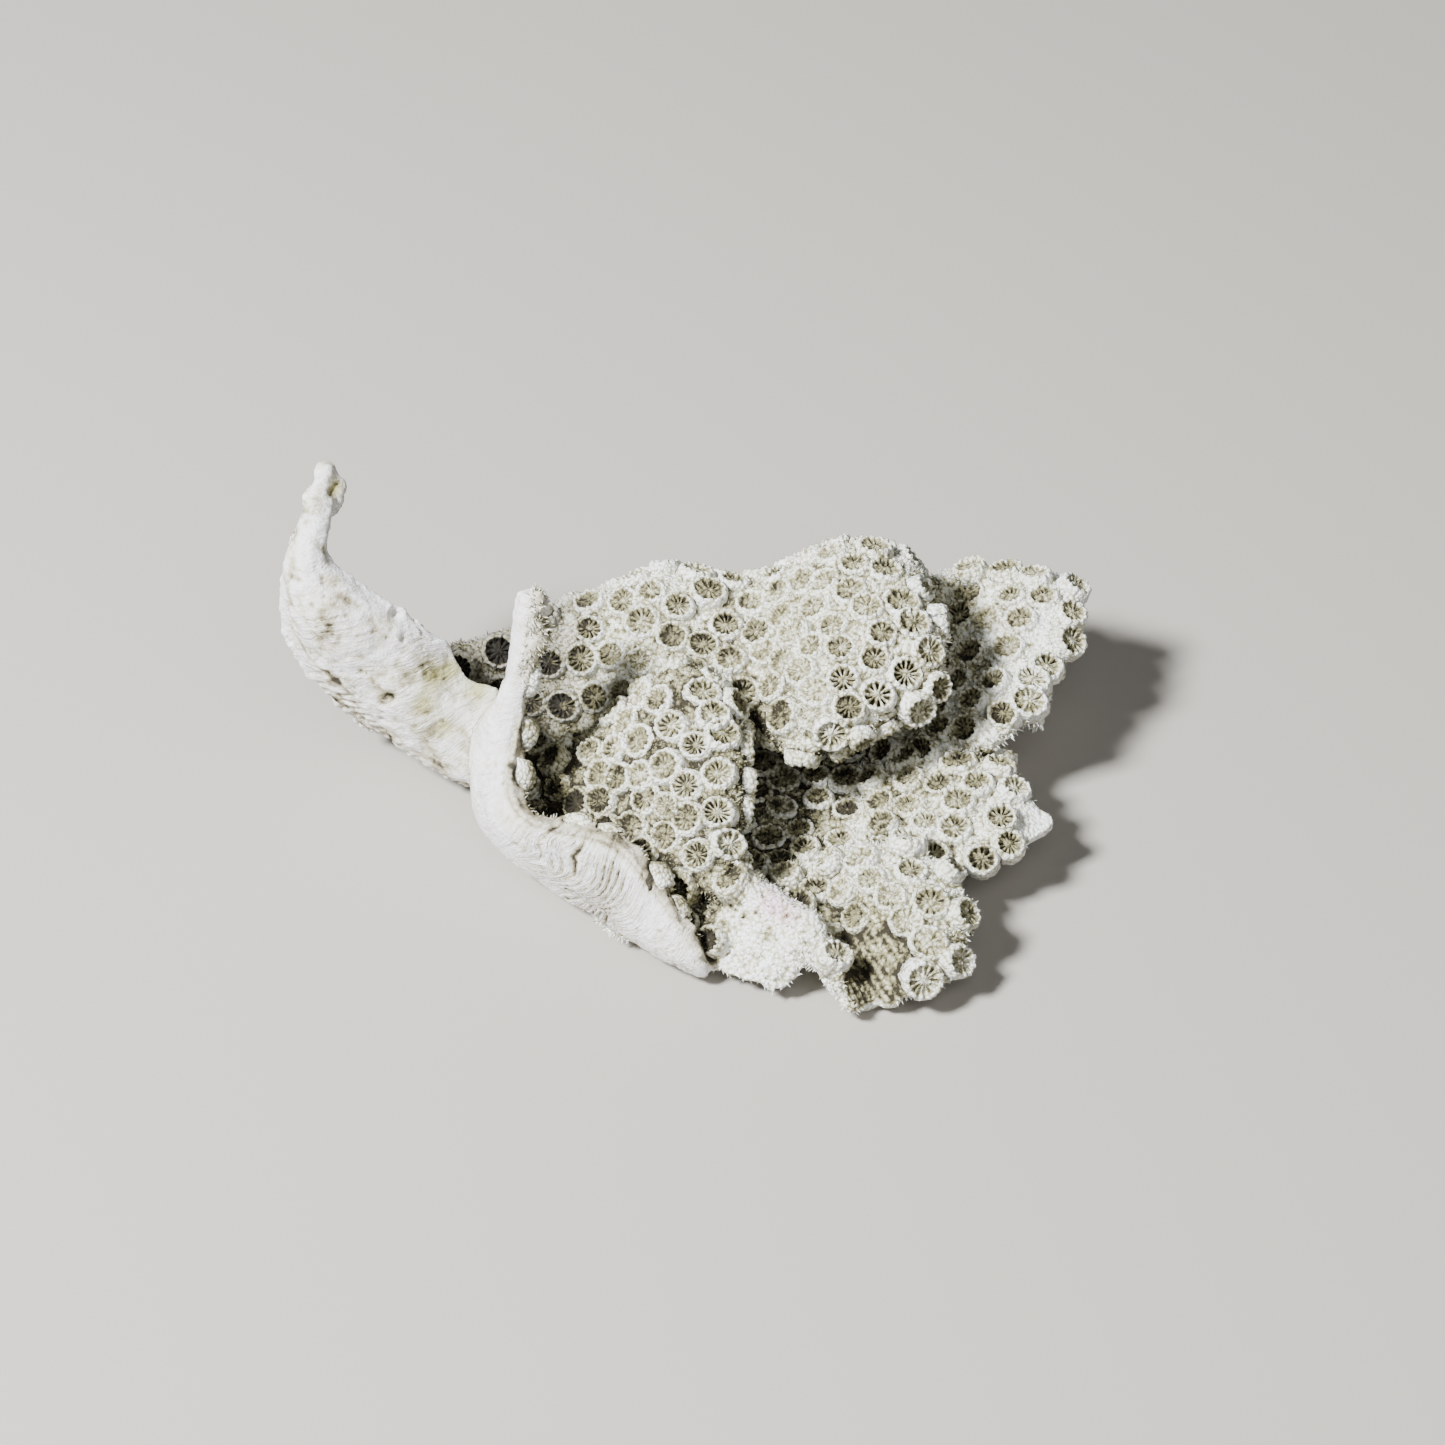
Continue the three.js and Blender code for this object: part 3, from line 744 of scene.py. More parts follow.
def shape_under_cups(points):
    """Around the cups the height of their mounds and a mask of their feet; inside, the sunk skin."""
    mound = np.zeros(len(points))
    foot = np.zeros(len(points))
    inside = np.zeros(len(points), bool)
    sunk = points.copy()
    tree = search_tree(points)
    for cup in cups:
        reach = cup["radius"] + MOUND_REACH
        near = np.array([found[1] for found in tree.find_range(cup["centre"], reach)])
        offset = points[near] - cup["centre"]
        height = offset @ cup["axis"]
        flat = np.linalg.norm(offset - height[:, None] * cup["axis"], axis=1)
        same_side = (np.abs(height) < 1.6) & (normals[near] @ cup["axis"] > 0.2)
        near, offset, height, flat = [x[same_side] for x in (near, offset, height, flat)]
        outer = cup["radius"] + WALL
        rise = MOUND_SHARE * cup["height"] * np.exp(-np.maximum(flat - outer, 0) ** 2 / 0.5)
        mound[near] = np.maximum(mound[near], rise)
        ring = np.exp(-(((flat - outer - FOOT_OFFSET) / FOOT_WIDTH) ** 2))
        foot[near] = np.maximum(foot[near], ring)
        core = flat < cup["radius"] + CORE_MARGIN
        inside[near[core]] = True
        sunk[near[core]] = (
            cup["centre"]
            + (offset - height[:, None] * cup["axis"])[core]
            - SUNK_DEPTH * cup["axis"]
        )
    return mound, foot, inside, sunk


upper = smooth_step(side, 0.15, 0.75)
mound, foot, inside, sunk = shape_under_cups(skin)
print("largest mound:", round(float(mound.max()), 2), "mm")
print("points under calices:", int(inside.sum()))

# %% [markdown]
# The horn and the fold show their bare underside. It was laid down in sheets, so fine growth lines
# run across it, crowded into ledges in places. They are grooves in the mesh, because their shadows
# show. A plain sine would look like corduroy, so noise warps it, and a mask keeps the lines strong
# only where the photograph shows them. Small holes were bored into the same side.

# %% Growth lines and bored holes
LINE_PITCH = 0.95
LINE_WARP = 0.7
LINE_STRETCH = 0.14
FAINT_LINES = 0.14
# Places with strong growth lines, as picture points with a radius in mm.
LINED_PLACES = [
    ((545, 850), 3.5), ((575, 870), 4.5), ((610, 890), 4.0), ((425, 655), 2.6), ((590, 905), 3.0),
]
# On the fold the lines sweep round towards its foot, by this many mm, near its lower edge.
FOLD_SWEEP = 3.2
FOLD_WIDTH = SIZES["left_fold"][1]

fold = plate_of == PLATES.index("left_fold")
horn = plate_of == PLATES.index("horn_frond")
bare = smooth_step(-side, 0.2, 0.8)
sweep = FOLD_SWEEP * np.exp(-np.maximum(FOLD_WIDTH - 3.5 - along_mm, 0) / 1.6)
bend = rough_noise(skin, 7.0, 31) * 0.9 + rough_noise(skin, 1.8, 32) * 0.16
phase = np.where(fold, across_mm + sweep, across_mm + 0.15 * along_mm) + bend
rows = LINE_STRETCH * along_mm
uneven = smooth_step(rough_noise(skin * (1, 1, 0.4), 2.2, 33), -0.5, 0.6)
lined = np.clip(FAINT_LINES + FAINT_LINES * uneven + spots(LINED_PLACES), 0, 1)


def growth_lines():
    """Grooves across the bare sides, as a depth from 0 to 1."""
    stretched = np.stack([phase, rows, 0 * phase], -1)
    warped = phase + LINE_WARP * value_noise(stretched, 3.0 * LINE_PITCH, 36)
    narrow = (1 - np.abs(np.sin(math.pi * warped / LINE_PITCH))) ** 1.5
    strong = 0.25 + 0.75 * smooth_step(value_noise(stretched, 1.3 * LINE_PITCH, 37), -0.5, 0.5)
    return narrow * strong * (0.5 + 0.5 * uneven) * lined


def bored_holes():
    """Small holes in the bare sides, as a depth from 0 to 1."""
    bored = smooth_step(value_noise(skin, 1.1, 41), 0.7, 0.88)
    return bored * smooth_step(value_noise(skin, 6.0, 42), -0.2, 0.4)


lines = growth_lines() * bare
holes = bored_holes() * bare
print("points in growth lines:", int((lines > 0.2).sum()), "in holes:", int((holes > 0.2).sum()))

# %% [markdown]
# Some parts of the bare plates are shaped in their own way. The upright finger at the end of the
# fold is lumpy all over. Along the rest of the fold the rim was broken, which leaves a rough bevel.
# The lower edge of the horn is ribbed. Each is a mask made from the distances along the plate.

# %% Parts of the fold and the horn
BEVEL_WIDTH = 1.5
BEVEL_EDGE = 0.3
RIB_PITCH = 1.3
HORN_WIDTH = SIZES["horn_frond"][1]

finger = fold * (1 - smooth_step(across_mm, 13, 17))
finger *= 1 - smooth_step(along_mm, 0.3 * FOLD_WIDTH, 0.5 * FOLD_WIDTH)
past_the_finger = fold * smooth_step(across_mm, 18, 22)
bevel = past_the_finger * (1 - smooth_step(along_mm, BEVEL_WIDTH - 0.3, BEVEL_WIDTH + 0.1))
bevel_edge = past_the_finger * np.exp(-(((along_mm - BEVEL_WIDTH) / BEVEL_EDGE) ** 2))
lower_edge = horn * smooth_step(along_mm, 0.6 * HORN_WIDTH, 0.85 * HORN_WIDTH)
lower_edge *= smooth_step(across_mm, 20, 27)
ribs = 1 - np.abs(np.sin(math.pi * (across_mm + bend) / RIB_PITCH))
horn_lumps = (horn + 0.4 * fold) * bare * rough_noise(skin, 1.7, 24)
print("points on the finger:", int((finger > 0.5).sum()), "on the bevel:", int((bevel > 0.5).sum()))

# %% [markdown]
# Now the displacement. The upper side gets the mounds, a gentle swell and a coarse grain. The grain
# stands for the little spines of the coenosteum, the skeleton between the cups. On a real piece they
# are about 0.3 mm wide, and here the grain is drawn at 0.85 mm so that it shows. The rims crumble.
# A displacement modifier would need images or textures for this; moving the points needs neither.

# %% Displacement of the skin
GRAIN = 0.85
GRAIN_HEIGHT = 0.2
SWELL = 6.0
SWELL_HEIGHT = 0.4
LINE_HEIGHT = 0.5
HOLE_DEPTH = 0.35
HORN_LUMP_HEIGHT = 0.24
FINGER_LUMP_HEIGHT = 0.6
RIB_HEIGHT = 0.4
BEVEL_DEPTH = 0.3
RIM_CRUMB = 1.7
RIM_CRUMB_HEIGHT = 0.5
FOLD_CRUMB_SHARE, HORN_CRUMB_SHARE = 0.6, 0.7

grain = rough_noise(skin, GRAIN, 21, octaves=2)
swell = rough_noise(skin, SWELL, 22, octaves=2)
lumps_at_rim = np.exp(-rim / 1.2) * rough_noise(skin, RIM_CRUMB, 23, octaves=2)
crumb_share = np.where(fold, FOLD_CRUMB_SHARE, np.where(horn, HORN_CRUMB_SHARE, 1.0))
lift = upper * (mound + (1 - groove) * (1 - tooth) * GRAIN_HEIGHT * grain + SWELL_HEIGHT * swell)
lift += bare * (0.05 * grain + 0.25 * swell) + HORN_LUMP_HEIGHT * horn_lumps
lift -= LINE_HEIGHT * lines + HOLE_DEPTH * holes
lift += (1 - upper) * (1 - bare) * (0.08 * grain + 0.2 * swell)
lift -= RIB_HEIGHT * lower_edge * ribs + BEVEL_DEPTH * bevel_edge * bare
lift += FINGER_LUMP_HEIGHT * finger * rough_noise(skin, 1.5, 25, octaves=2)
lift += RIM_CRUMB_HEIGHT * lumps_at_rim * crumb_share * (1 - tooth)
print("skin moved by up to", round(float(np.abs(lift).max()), 2), "mm")

# %% [markdown]
# Last come the shapes that stand in one place: ridges on the floor of the groove, which run down to
# the front rim, and the dents, holes and knobs that the photograph shows one by one.

# %% Ridges, dents and knobs
GROOVE_PITCH = 0.85
GROOVE_RIDGE_HEIGHT = 0.28
# Picture point, radius and depth in mm, and stain. A negative depth is a knob.
DENTS = [
    ((566, 827), 0.5, 0.5, 0.6), ((598, 830), 0.55, 0.5, 0.6), ((639, 852), 0.7, 0.35, 0.4),
    ((667, 887), 0.7, 0.35, 0.45), ((669, 895), 0.3, 0.5, 0.9), ((515, 846), 0.4, 0.6, 0.75),
    ((556, 808), 0.7, -0.8, 0.0), ((582, 820), 0.8, -0.4, 0.0), ((616, 838), 0.7, -0.4, 0.0),
    ((658, 877), 0.6, -0.5, 0.0), ((692, 929), 0.6, -0.5, 0.0), ((700, 955), 0.6, -0.4, 0.0),
    ((403, 639), 0.5, 0.6, 0.5), ((391, 699), 0.6, 0.8, 1.0), ((387, 697), 0.4, 0.5, 0.8),
    ((361, 672), 0.4, 0.5, 0.9), ((366, 674), 0.3, 0.4, 0.8), ((323, 576), 0.3, 0.3, 0.7),
    ((324, 582), 0.3, 0.3, 0.7), ((324, 596), 0.3, 0.4, 0.8), ((314, 593), 0.8, 0.3, 0.3),
    ((333, 636), 0.3, 0.3, 0.7), ((348, 616), 0.3, 0.3, 0.7), ((331, 526), 0.35, 0.7, 0.9),
    ((331, 537), 0.3, 0.5, 0.7), ((333, 546), 0.35, 0.6, 0.9), ((335, 552), 0.35, 0.6, 0.9),
    ((338, 485), 0.8, 0.9, 0.9), ((333, 494), 0.7, 0.6, 0.8), ((383, 706), 0.4, 0.6, 0.5),
    ((382, 713), 0.4, 0.6, 0.5), ((381, 720), 0.4, 0.6, 0.5), ((396, 613), 0.7, 0.9, 0.2),
    ((410, 610), 0.7, -0.8, 0.0), ((457, 697), 0.35, 0.3, 0.7), ((466, 695), 0.35, 0.3, 0.6),
    ((697, 900), 0.3, 0.5, 0.9), ((704, 912), 0.3, 0.5, 0.9), ((713, 918), 0.35, 0.5, 0.9),
    ((706, 929), 0.35, 0.5, 0.9), ((720, 934), 0.35, 0.5, 0.9), ((727, 950), 0.4, 0.5, 0.9),
    ((725, 924), 0.3, 0.4, 0.8), ((731, 905), 0.3, 0.4, 0.8), ((740, 895), 0.3, 0.4, 0.8),
    ((755, 913), 0.3, 0.4, 0.8), ((742, 917), 0.3, 0.4, 0.8), ((765, 897), 0.35, 0.4, 0.6),
    ((787, 915), 0.4, 0.4, 0.6), ((768, 936), 0.9, 0.35, 0.4), ((796, 905), 0.4, 0.4, 0.6),
]
down_the_groove = 0.86 * skin[:, 0] + 0.51 * skin[:, 1] + 0.3 * bend
groove_ridges = np.abs(np.sin(math.pi * down_the_groove / GROOVE_PITCH))
lift -= GROOVE_RIDGE_HEIGHT * groove * upper * (1 - groove_ridges)
dent_stain = np.zeros(len(skin))
for pixel, radius, depth, dark in DENTS:
    mask = spot(pixel, radius)
    lift -= depth * mask
    dent_stain = np.maximum(dent_stain, dark * mask)

shaped = skin + normals * lift[:, None]
shaped[inside] = sunk[inside]
shaped[:, 2] = np.maximum(shaped[:, 2], 0)
print("dents, holes and knobs:", len(DENTS))

# %% [markdown]
# Dust and dried algae stay where nothing brushes or rinses them, and shade falls in the same hollows,
# so the darkening of the skeleton, partly dust and partly painted shade, needs to know how sheltered
# each point is. Rays leave the skin in many directions, and the share of them that meet the coral
# again is the shelter. It is worked out on every fifth point and spread.

# %% How sheltered each point is
SHELTER_STRIDE = 5
SHELTER_REACH = 14.0
SHELTER_RAYS = 24
SHELTER_SPREAD = 0.95
SHELTER_START = 0.25
SHELTER_BLUR_ROUNDS = 6

shaped_normals = vertex_normals(shaped)
shaped_bvh = BVHTree.FromPolygons([Vector(p) for p in shaped], squares.tolist())


def shelter_of(points, directions):
    """The share of rays over each point's hemisphere that are blocked within reach."""
    rays = unit(np.random.default_rng(71).normal(0, 1, (SHELTER_RAYS, 3)))
    blocked = np.zeros(len(points))
    for i, (point, normal) in enumerate(zip(points, directions)):
        start = Vector(point + SHELTER_START * normal)
        for ray in rays:
            way = Vector(unit(normal + SHELTER_SPREAD * ray))
            if shaped_bvh.ray_cast(start, way, SHELTER_REACH)[0] is not None:
                blocked[i] += 1
    return blocked / SHELTER_RAYS


tested = np.arange(0, len(shaped), SHELTER_STRIDE)
tested_shelter = shelter_of(shaped[tested], shaped_normals[tested])
tested_tree = search_tree(shaped[tested])
shelter = np.array([tested_shelter[tested_tree.find(point)[1]] for point in shaped])
shelter = blurred(shelter, SHELTER_BLUR_ROUNDS, 0.7)
print("shelter from", round(float(shelter.min()), 2), "to", round(float(shelter.max()), 2))

# %% [markdown]
# A cup is built on rings. From the outside in they run up the wall, over the rim and down into the
# calice. The septa, thin radial walls, make the ring go up and down: four points to each septum,
# two on its top and two in the slit beside it. The columella, a spongy knob, closes the middle.
# Modelling them as real walls costs faces, but bump in a material could never make black slits.

# %% One mesh of corallites for each plate
RINGS = [
    # radius in calice radii, extra radius, height on a septum and height in a slit, in mm
    (1.0, 0.8, -0.75, -0.75),
    (1.0, 0.5, -0.3, -0.5),
    (1.0, 0.3, 0.0, -0.2),
    (1.0, 0.06, 0.06, -0.12),
    (0.9, 0.0, -0.2, -0.8),
    (0.78, 0.0, -0.36, -1.15),
    (0.5, 0.0, -0.5, -1.1),
    (0.38, 0.0, -0.55, -0.68),
    (0.2, 0.0, -0.42, -0.58),
]
# Four points to a septum: the place along its share of the ring, and 1 on its top or 0 in the slit.
SEPTUM_POINTS = [(-0.17, 1.0), (0.17, 1.0), (0.29, 0.0), (0.71, 0.0)]
CUP_ROOT = 1.4
CUP_FOOT = -0.55
CUP_LIFT = 0.12
SHORT_SEPTUM = 0.75
FULL_SLIT = 1.1
CUP_SEED = 500


def cup_mesh(cup, seed):
    """Vertices, faces and a depth mask of one closed corallite."""
    chance = np.random.default_rng(seed)
    n = cup["septa"]
    pitch = math.tau / n
    angle = np.concatenate([[(k + a) * pitch for a, _ in SEPTUM_POINTS] for k in range(n)])
    on_septum = np.tile([s for _, s in SEPTUM_POINTS], n)
    bend = np.repeat(chance.normal(0, 0.1, n), len(SEPTUM_POINTS)) * pitch
    longer = np.repeat(np.where(np.arange(n) % 2 == 0, 1.0, SHORT_SEPTUM), len(SEPTUM_POINTS))
    tall = np.repeat(chance.uniform(-0.09, 0.09, n), len(SEPTUM_POINTS))
    vertices, depths = [], []
    for ring, (share, extra, high, low) in enumerate(RINGS):
        radius = cup["radius"] * share + extra
        reach = longer if share < 0.6 else 1.0
        level = np.where(on_septum > 0, high + tall * (ring > 2), low)
        level = low + (level - low) * reach
        level = np.where((share < 1) & (level < -0.3), -0.3 + (level + 0.3) * cup["open"], level)
        level = level + chance.uniform(-0.1, 0.1, len(angle)) * (ring > 0)
        spread = radius * (1 + chance.uniform(-0.04, 0.04, len(angle)))
        turned = angle + bend * (1.3 - share) + cup["turn"]
        ring_points = np.stack([
            np.cos(turned) * spread,
            np.sin(turned) * spread * cup["squash"],
            cup["height"] + level,
        ], -1)
        if ring == 0:
            ring_points[:, 2] = CUP_FOOT
        vertices.append(ring_points)
        # Painted shade with the dust: the calice darkens with the depth of its slits.
        deep = (np.clip(-level, 0, FULL_SLIT) / FULL_SLIT) ** 1.6
        depths.append((share < 1) * (cup["tan"] + (1 - cup["tan"]) * deep))
    vertices.append([[0, 0, cup["height"] - 0.35], [0, 0, -CUP_ROOT]])
    depths.append([0.5, 0])
    vertices = np.concatenate(vertices)
    m = len(angle)
    rings = np.arange(len(RINGS) * m).reshape(len(RINGS), m)
    a, b = rings[:-1], rings[1:]
    walls = np.stack([a, np.roll(a, -1, 1), np.roll(b, -1, 1), b], -1).reshape(-1, 4)
    top, bottom = len(vertices) - 2, len(vertices) - 1
    inner = np.stack([rings[-1], np.roll(rings[-1], -1), np.full(m, top)], -1)
    under = np.stack([np.roll(rings[0], -1), rings[0], np.full(m, bottom)], -1)
    side_way = unit(np.cross(cup["axis"], [0.31, 0.52, 0.79]))
    basis = np.stack([side_way, np.cross(cup["axis"], side_way), cup["axis"]])
    placed = vertices @ basis + cup["centre"] + CUP_LIFT * cup["axis"]
    faces = [*walls.tolist(), *inner.tolist(), *under.tolist()]
    return placed, faces, cup["dust"] * np.concatenate(depths)


def join_shapes(shapes):
    """Vertices, faces and masks of many small shapes as one list of each."""
    vertices, faces, masks, start = [], [], [], 0
    for shape_vertices, shape_faces, mask in shapes:
        vertices.append(shape_vertices)
        faces.extend([[start + i for i in face] for face in shape_faces])
        masks.append(mask)
        start += len(shape_vertices)
    return np.concatenate(vertices), faces, np.concatenate(masks)


cup_shapes = {
    name: join_shapes([cup_mesh(cup, CUP_SEED + i) for i, cup in enumerate(cups) if cup["plate"] == k])
    for k, name in enumerate(PLATES)
    if any(cup["plate"] == k for cup in cups)
}
print("corallite faces:", {name: len(shape[1]) for name, shape in cup_shapes.items()})

# %% [markdown]
# The coenosteum bristles with spines about 0.15 mm thick, which make fuzzy fringes at the rims of
# the lobes. They are drawn about twice as thick so that they show. Each is a thin three-sided
# pyramid, four faces in all, so that tens of thousands of them stay light. Hair curves would be the
# quick way, but an export drops them.

# %% Spines
SPINES_PER_POINT = 0.34
SPINE_RADIUS = 0.17
SPINE_HEIGHT = 0.48
SPINE_SPREAD = 0.35
SPINE_ROOT = 0.12
# The share of points with a spine is given for this voxel size.
SPINE_VOXEL = 0.3
FRONT_FOLD_SPINES = 0.4
LOWEST_SPINE = 0.6


def spines(places, directions, heights, seed):
    """Thin closed pyramids, one at each place, as vertices and faces."""
    chance = np.random.default_rng(seed)
    n = len(places)
    directions = unit(directions + chance.normal(0, SPINE_SPREAD, (n, 3)))
    first = unit(np.cross(directions, chance.normal(0, 1, (n, 3))))
    second = np.cross(directions, first)
    radius = SPINE_RADIUS * chance.uniform(0.7, 1.3, n)[:, None]
    corners = [
        places - SPINE_ROOT * directions + radius * (math.cos(a) * first + math.sin(a) * second)
        for a in (0, math.tau / 3, 2 * math.tau / 3)
    ]
    tips = places + directions * heights[:, None]
    vertices = np.stack([*corners, tips], 1).reshape(-1, 3)
    base = np.arange(n)[:, None] * 4
    faces = np.concatenate([base + f for f in ([0, 1, 3], [1, 2, 3], [2, 0, 3], [0, 2, 1])])
    return vertices, faces.tolist()


on_lobe_rim = (side > -0.6) & (rim < 0.8) & ~fold & ~horn
bristly = ((upper > 0.5) | (finger > 0.4) | on_lobe_rim) & ~inside & (shaped[:, 2] > LOWEST_SPINE)
fringe = np.exp(-rim / 2.0)
spine_share = SPINES_PER_POINT * (VOXEL / SPINE_VOXEL) ** 2
spine_share *= 0.6 + 0.4 * smooth_step(rough_noise(skin, 3.0, 51), -0.4, 0.5)
spine_share *= (1 - groove) * (1 - tooth) * np.where(plate_of == NO_MORE_ON, FRONT_FOLD_SPINES, 1.0)
bristly &= np.random.default_rng(61).uniform(size=len(skin)) < spine_share
spine_points = np.flatnonzero(bristly)
print("spines:", len(spine_points))

# %% [markdown]
# The finish is bare aragonite, the chalky mineral of coral skeletons, bleached by sun and sea. It is
# white and quite matt, with an index of refraction near 1.6. What is not white is partly dust and
# dried algae that the cups and hollows hold, an olive tan, and partly painted shade in the same cups
# and hollows, so one mask drives the colour: how deep in a calice or how sheltered a point is.
# Painted vertex colours would do it too, but a mask with a colour ramp can be changed later. Colours
# are sRGB hex values turned to linear by one function.

# %% Helpers for materials
def linear(hex_colour):
    """An sRGB hex colour as linear red, green, blue and alpha."""
    values = [int(hex_colour[i:i + 2], 16) / 255 for i in (1, 3, 5)]
    return [v / 12.92 if v <= 0.04045 else ((v + 0.055) / 1.055) ** 2.4 for v in values] + [1.0]


def add_node(tree, kind, settings=(), inputs=(), links=()):
    """Add a node, set its properties and input values, and link its inputs to outputs."""
    node = tree.nodes.new(kind)
    for name, value in dict(settings).items():
        setattr(node, name, value)
    for name, value in dict(inputs).items():
        node.inputs[name].default_value = value
    for name, output in dict(links).items():
        tree.links.new(output, node.inputs[name])
    return node


print("white in linear values:", linear("#ffffff"))

# %% [markdown]
# The mask of stain and painted shade is made uneven before it becomes a colour: patches of 4 mm
# where more dust stayed, and specks of half a millimetre. Between the spines of the coenosteum the
# ground is darker too, with dust and painted shade. The spines stand about 0.3 mm apart, and are
# drawn 0.5 mm apart so that they show.

# %% Stain, painted shade and tint
PATCH_MM = 4.0
SPECKLE_MM = 0.5
# The grey tint is a painted shadow: that of the horn on the wall behind the fold.
TINTS = {"algae": "#c9c795", "horn_shadow": "#aaa7a3", "pink": "#f3d3e6"}


def stain_and_shade_amount(tree, where, speckle, spines_pattern):
    """How stained and shaded a point is, from 0 to 1, with patches, specks and painted shade between
    spines.
    """
    darkening = add_node(tree, "ShaderNodeAttribute", {"attribute_name": "stain_and_shade"}).outputs["Fac"]
    patches = add_node(
        tree, "ShaderNodeTexNoise",
        inputs={"Scale": 1 / (PATCH_MM * MM), "Detail": 4.0, "Roughness": 0.6},
        links={"Vector": where},
    )
    patchy = add_node(
        tree, "ShaderNodeMapRange",
        inputs={"From Min": 0.35, "From Max": 0.65, "To Min": 0.55, "To Max": 1.25},
        links={"Value": patches.outputs["Fac"]},
    )
    patched = add_node(
        tree, "ShaderNodeMath", {"operation": "MULTIPLY"},
        links={0: darkening, 1: patchy.outputs["Result"]},
    )
    specks = add_node(
        tree, "ShaderNodeTexNoise",
        inputs={"Scale": 1 / (SPECKLE_MM * MM), "Detail": 3.0, "Roughness": 0.6},
        links={"Vector": where},
    )
    specked = add_node(
        tree, "ShaderNodeMapRange",
        inputs={"From Min": 0.42, "From Max": 0.68, "To Min": 0.0, "To Max": speckle},
        links={"Value": specks.outputs["Fac"]},
    )
    parts = [patched.outputs["Value"], specked.outputs["Result"]]
    if spines_pattern:
        between = add_node(
            tree, "ShaderNodeMapRange",
            inputs={"From Min": 0.45, "From Max": 0.78, "To Min": 0.0, "To Max": 0.36},
            links={"Value": spines_pattern.outputs["Distance"]},
        )
        parts.append(between.outputs["Result"])
    amount = parts[0]
    for part in parts[1:]:
        total = add_node(
            tree, "ShaderNodeMath", {"operation": "ADD", "use_clamp": True},
            links={0: amount, 1: part},
        )
        amount = total.outputs["Value"]
    return amount


def tinted_colour(tree, amount, colours):
    """The colour for an amount of stain and shade, tinted by algae, a pink crust and a painted shadow."""
    colour = add_node(tree, "ShaderNodeValToRGB", links={"Fac": amount})
    ramp = colour.color_ramp.elements
    while len(ramp) < len(colours):
        ramp.new(0.5)
    for element, (position, hex_colour) in zip(ramp, colours):
        element.position = position
        element.color = linear(hex_colour)
    tinted = colour.outputs["Color"]
    for mask, tint in TINTS.items():
        share = add_node(tree, "ShaderNodeAttribute", {"attribute_name": mask}).outputs["Fac"]
        mix = add_node(
            tree, "ShaderNodeMix", {"data_type": "RGBA", "blend_type": "MULTIPLY"},
            links={0: share, 6: tinted},
        )
        mix.inputs[7].default_value = linear(tint)
        tinted = mix.outputs[2]
    return tinted


print("tints:", TINTS)

# %% [markdown]
# The finest relief is bump: a chalky grain, then either the tips of the spines or the finest growth
# lines. The lines follow the plate, because their noise is stretched along the plate's own
# distances, which each point carries. They are finer than a real ledge and coarser than the finest
# real lines, which a picture of this size can't show.

# %% Relief of the surface
def relief(tree, grain_noise, grain_depth, spines_pattern, spine_mm, line_mm, line_depth):
    """The shading direction after all the bumps."""
    bump = add_node(
        tree, "ShaderNodeBump", inputs={"Strength": 1.0, "Distance": grain_depth * MM},
        links={"Height": grain_noise.outputs["Fac"]},
    )
    if spines_pattern:
        bump = add_node(
            tree, "ShaderNodeBump", {"invert": True},
            {"Strength": 1.0, "Distance": 0.55 * spine_mm * MM},
            {"Height": spines_pattern.outputs["Distance"], "Normal": bump.outputs["Normal"]},
        )
    if line_depth:
        across, along_lines, lined_here = [
            add_node(tree, "ShaderNodeAttribute", {"attribute_name": mask}).outputs["Fac"]
            for mask in ("lines", "rows", "lined")
        ]
        stretched = add_node(tree, "ShaderNodeCombineXYZ", links={"X": across, "Y": along_lines})
        streaks = add_node(
            tree, "ShaderNodeTexNoise",
            inputs={"Scale": 1 / line_mm, "Detail": 3.0, "Roughness": 0.6},
            links={"Vector": stretched.outputs["Vector"]},
        )
        wave = add_node(
            tree, "ShaderNodeMath", {"operation": "MULTIPLY"},
            links={0: streaks.outputs["Fac"], 1: lined_here},
        )
        bump = add_node(
            tree, "ShaderNodeBump", inputs={"Strength": 1.0, "Distance": line_depth * MM},
            links={"Height": wave.outputs["Value"], "Normal": bump.outputs["Normal"]},
        )
    return bump.outputs["Normal"]


# %% [markdown]
# There are two finishes of the same mineral. The upper side, with the cups, is rough and holds more
# dust. The underside is smoother and whiter, with growth lines. Both vary a little in roughness.

# %% Two finishes of aragonite
ARAGONITE_IOR = 1.6
ARAGONITE_SPECULAR = 0.3
ROUGHNESS_SPREAD = 0.08
CUPPED_COLOURS = [(0.0, "#f7f8fa"), (0.3, "#d6d4c2"), (0.6, "#918b69"), (1.0, "#2b2618")]
SMOOTH_COLOURS = [(0.0, "#f3f2f5"), (0.35, "#d6d0be"), (0.7, "#9a9177"), (1.0, "#3a3528")]


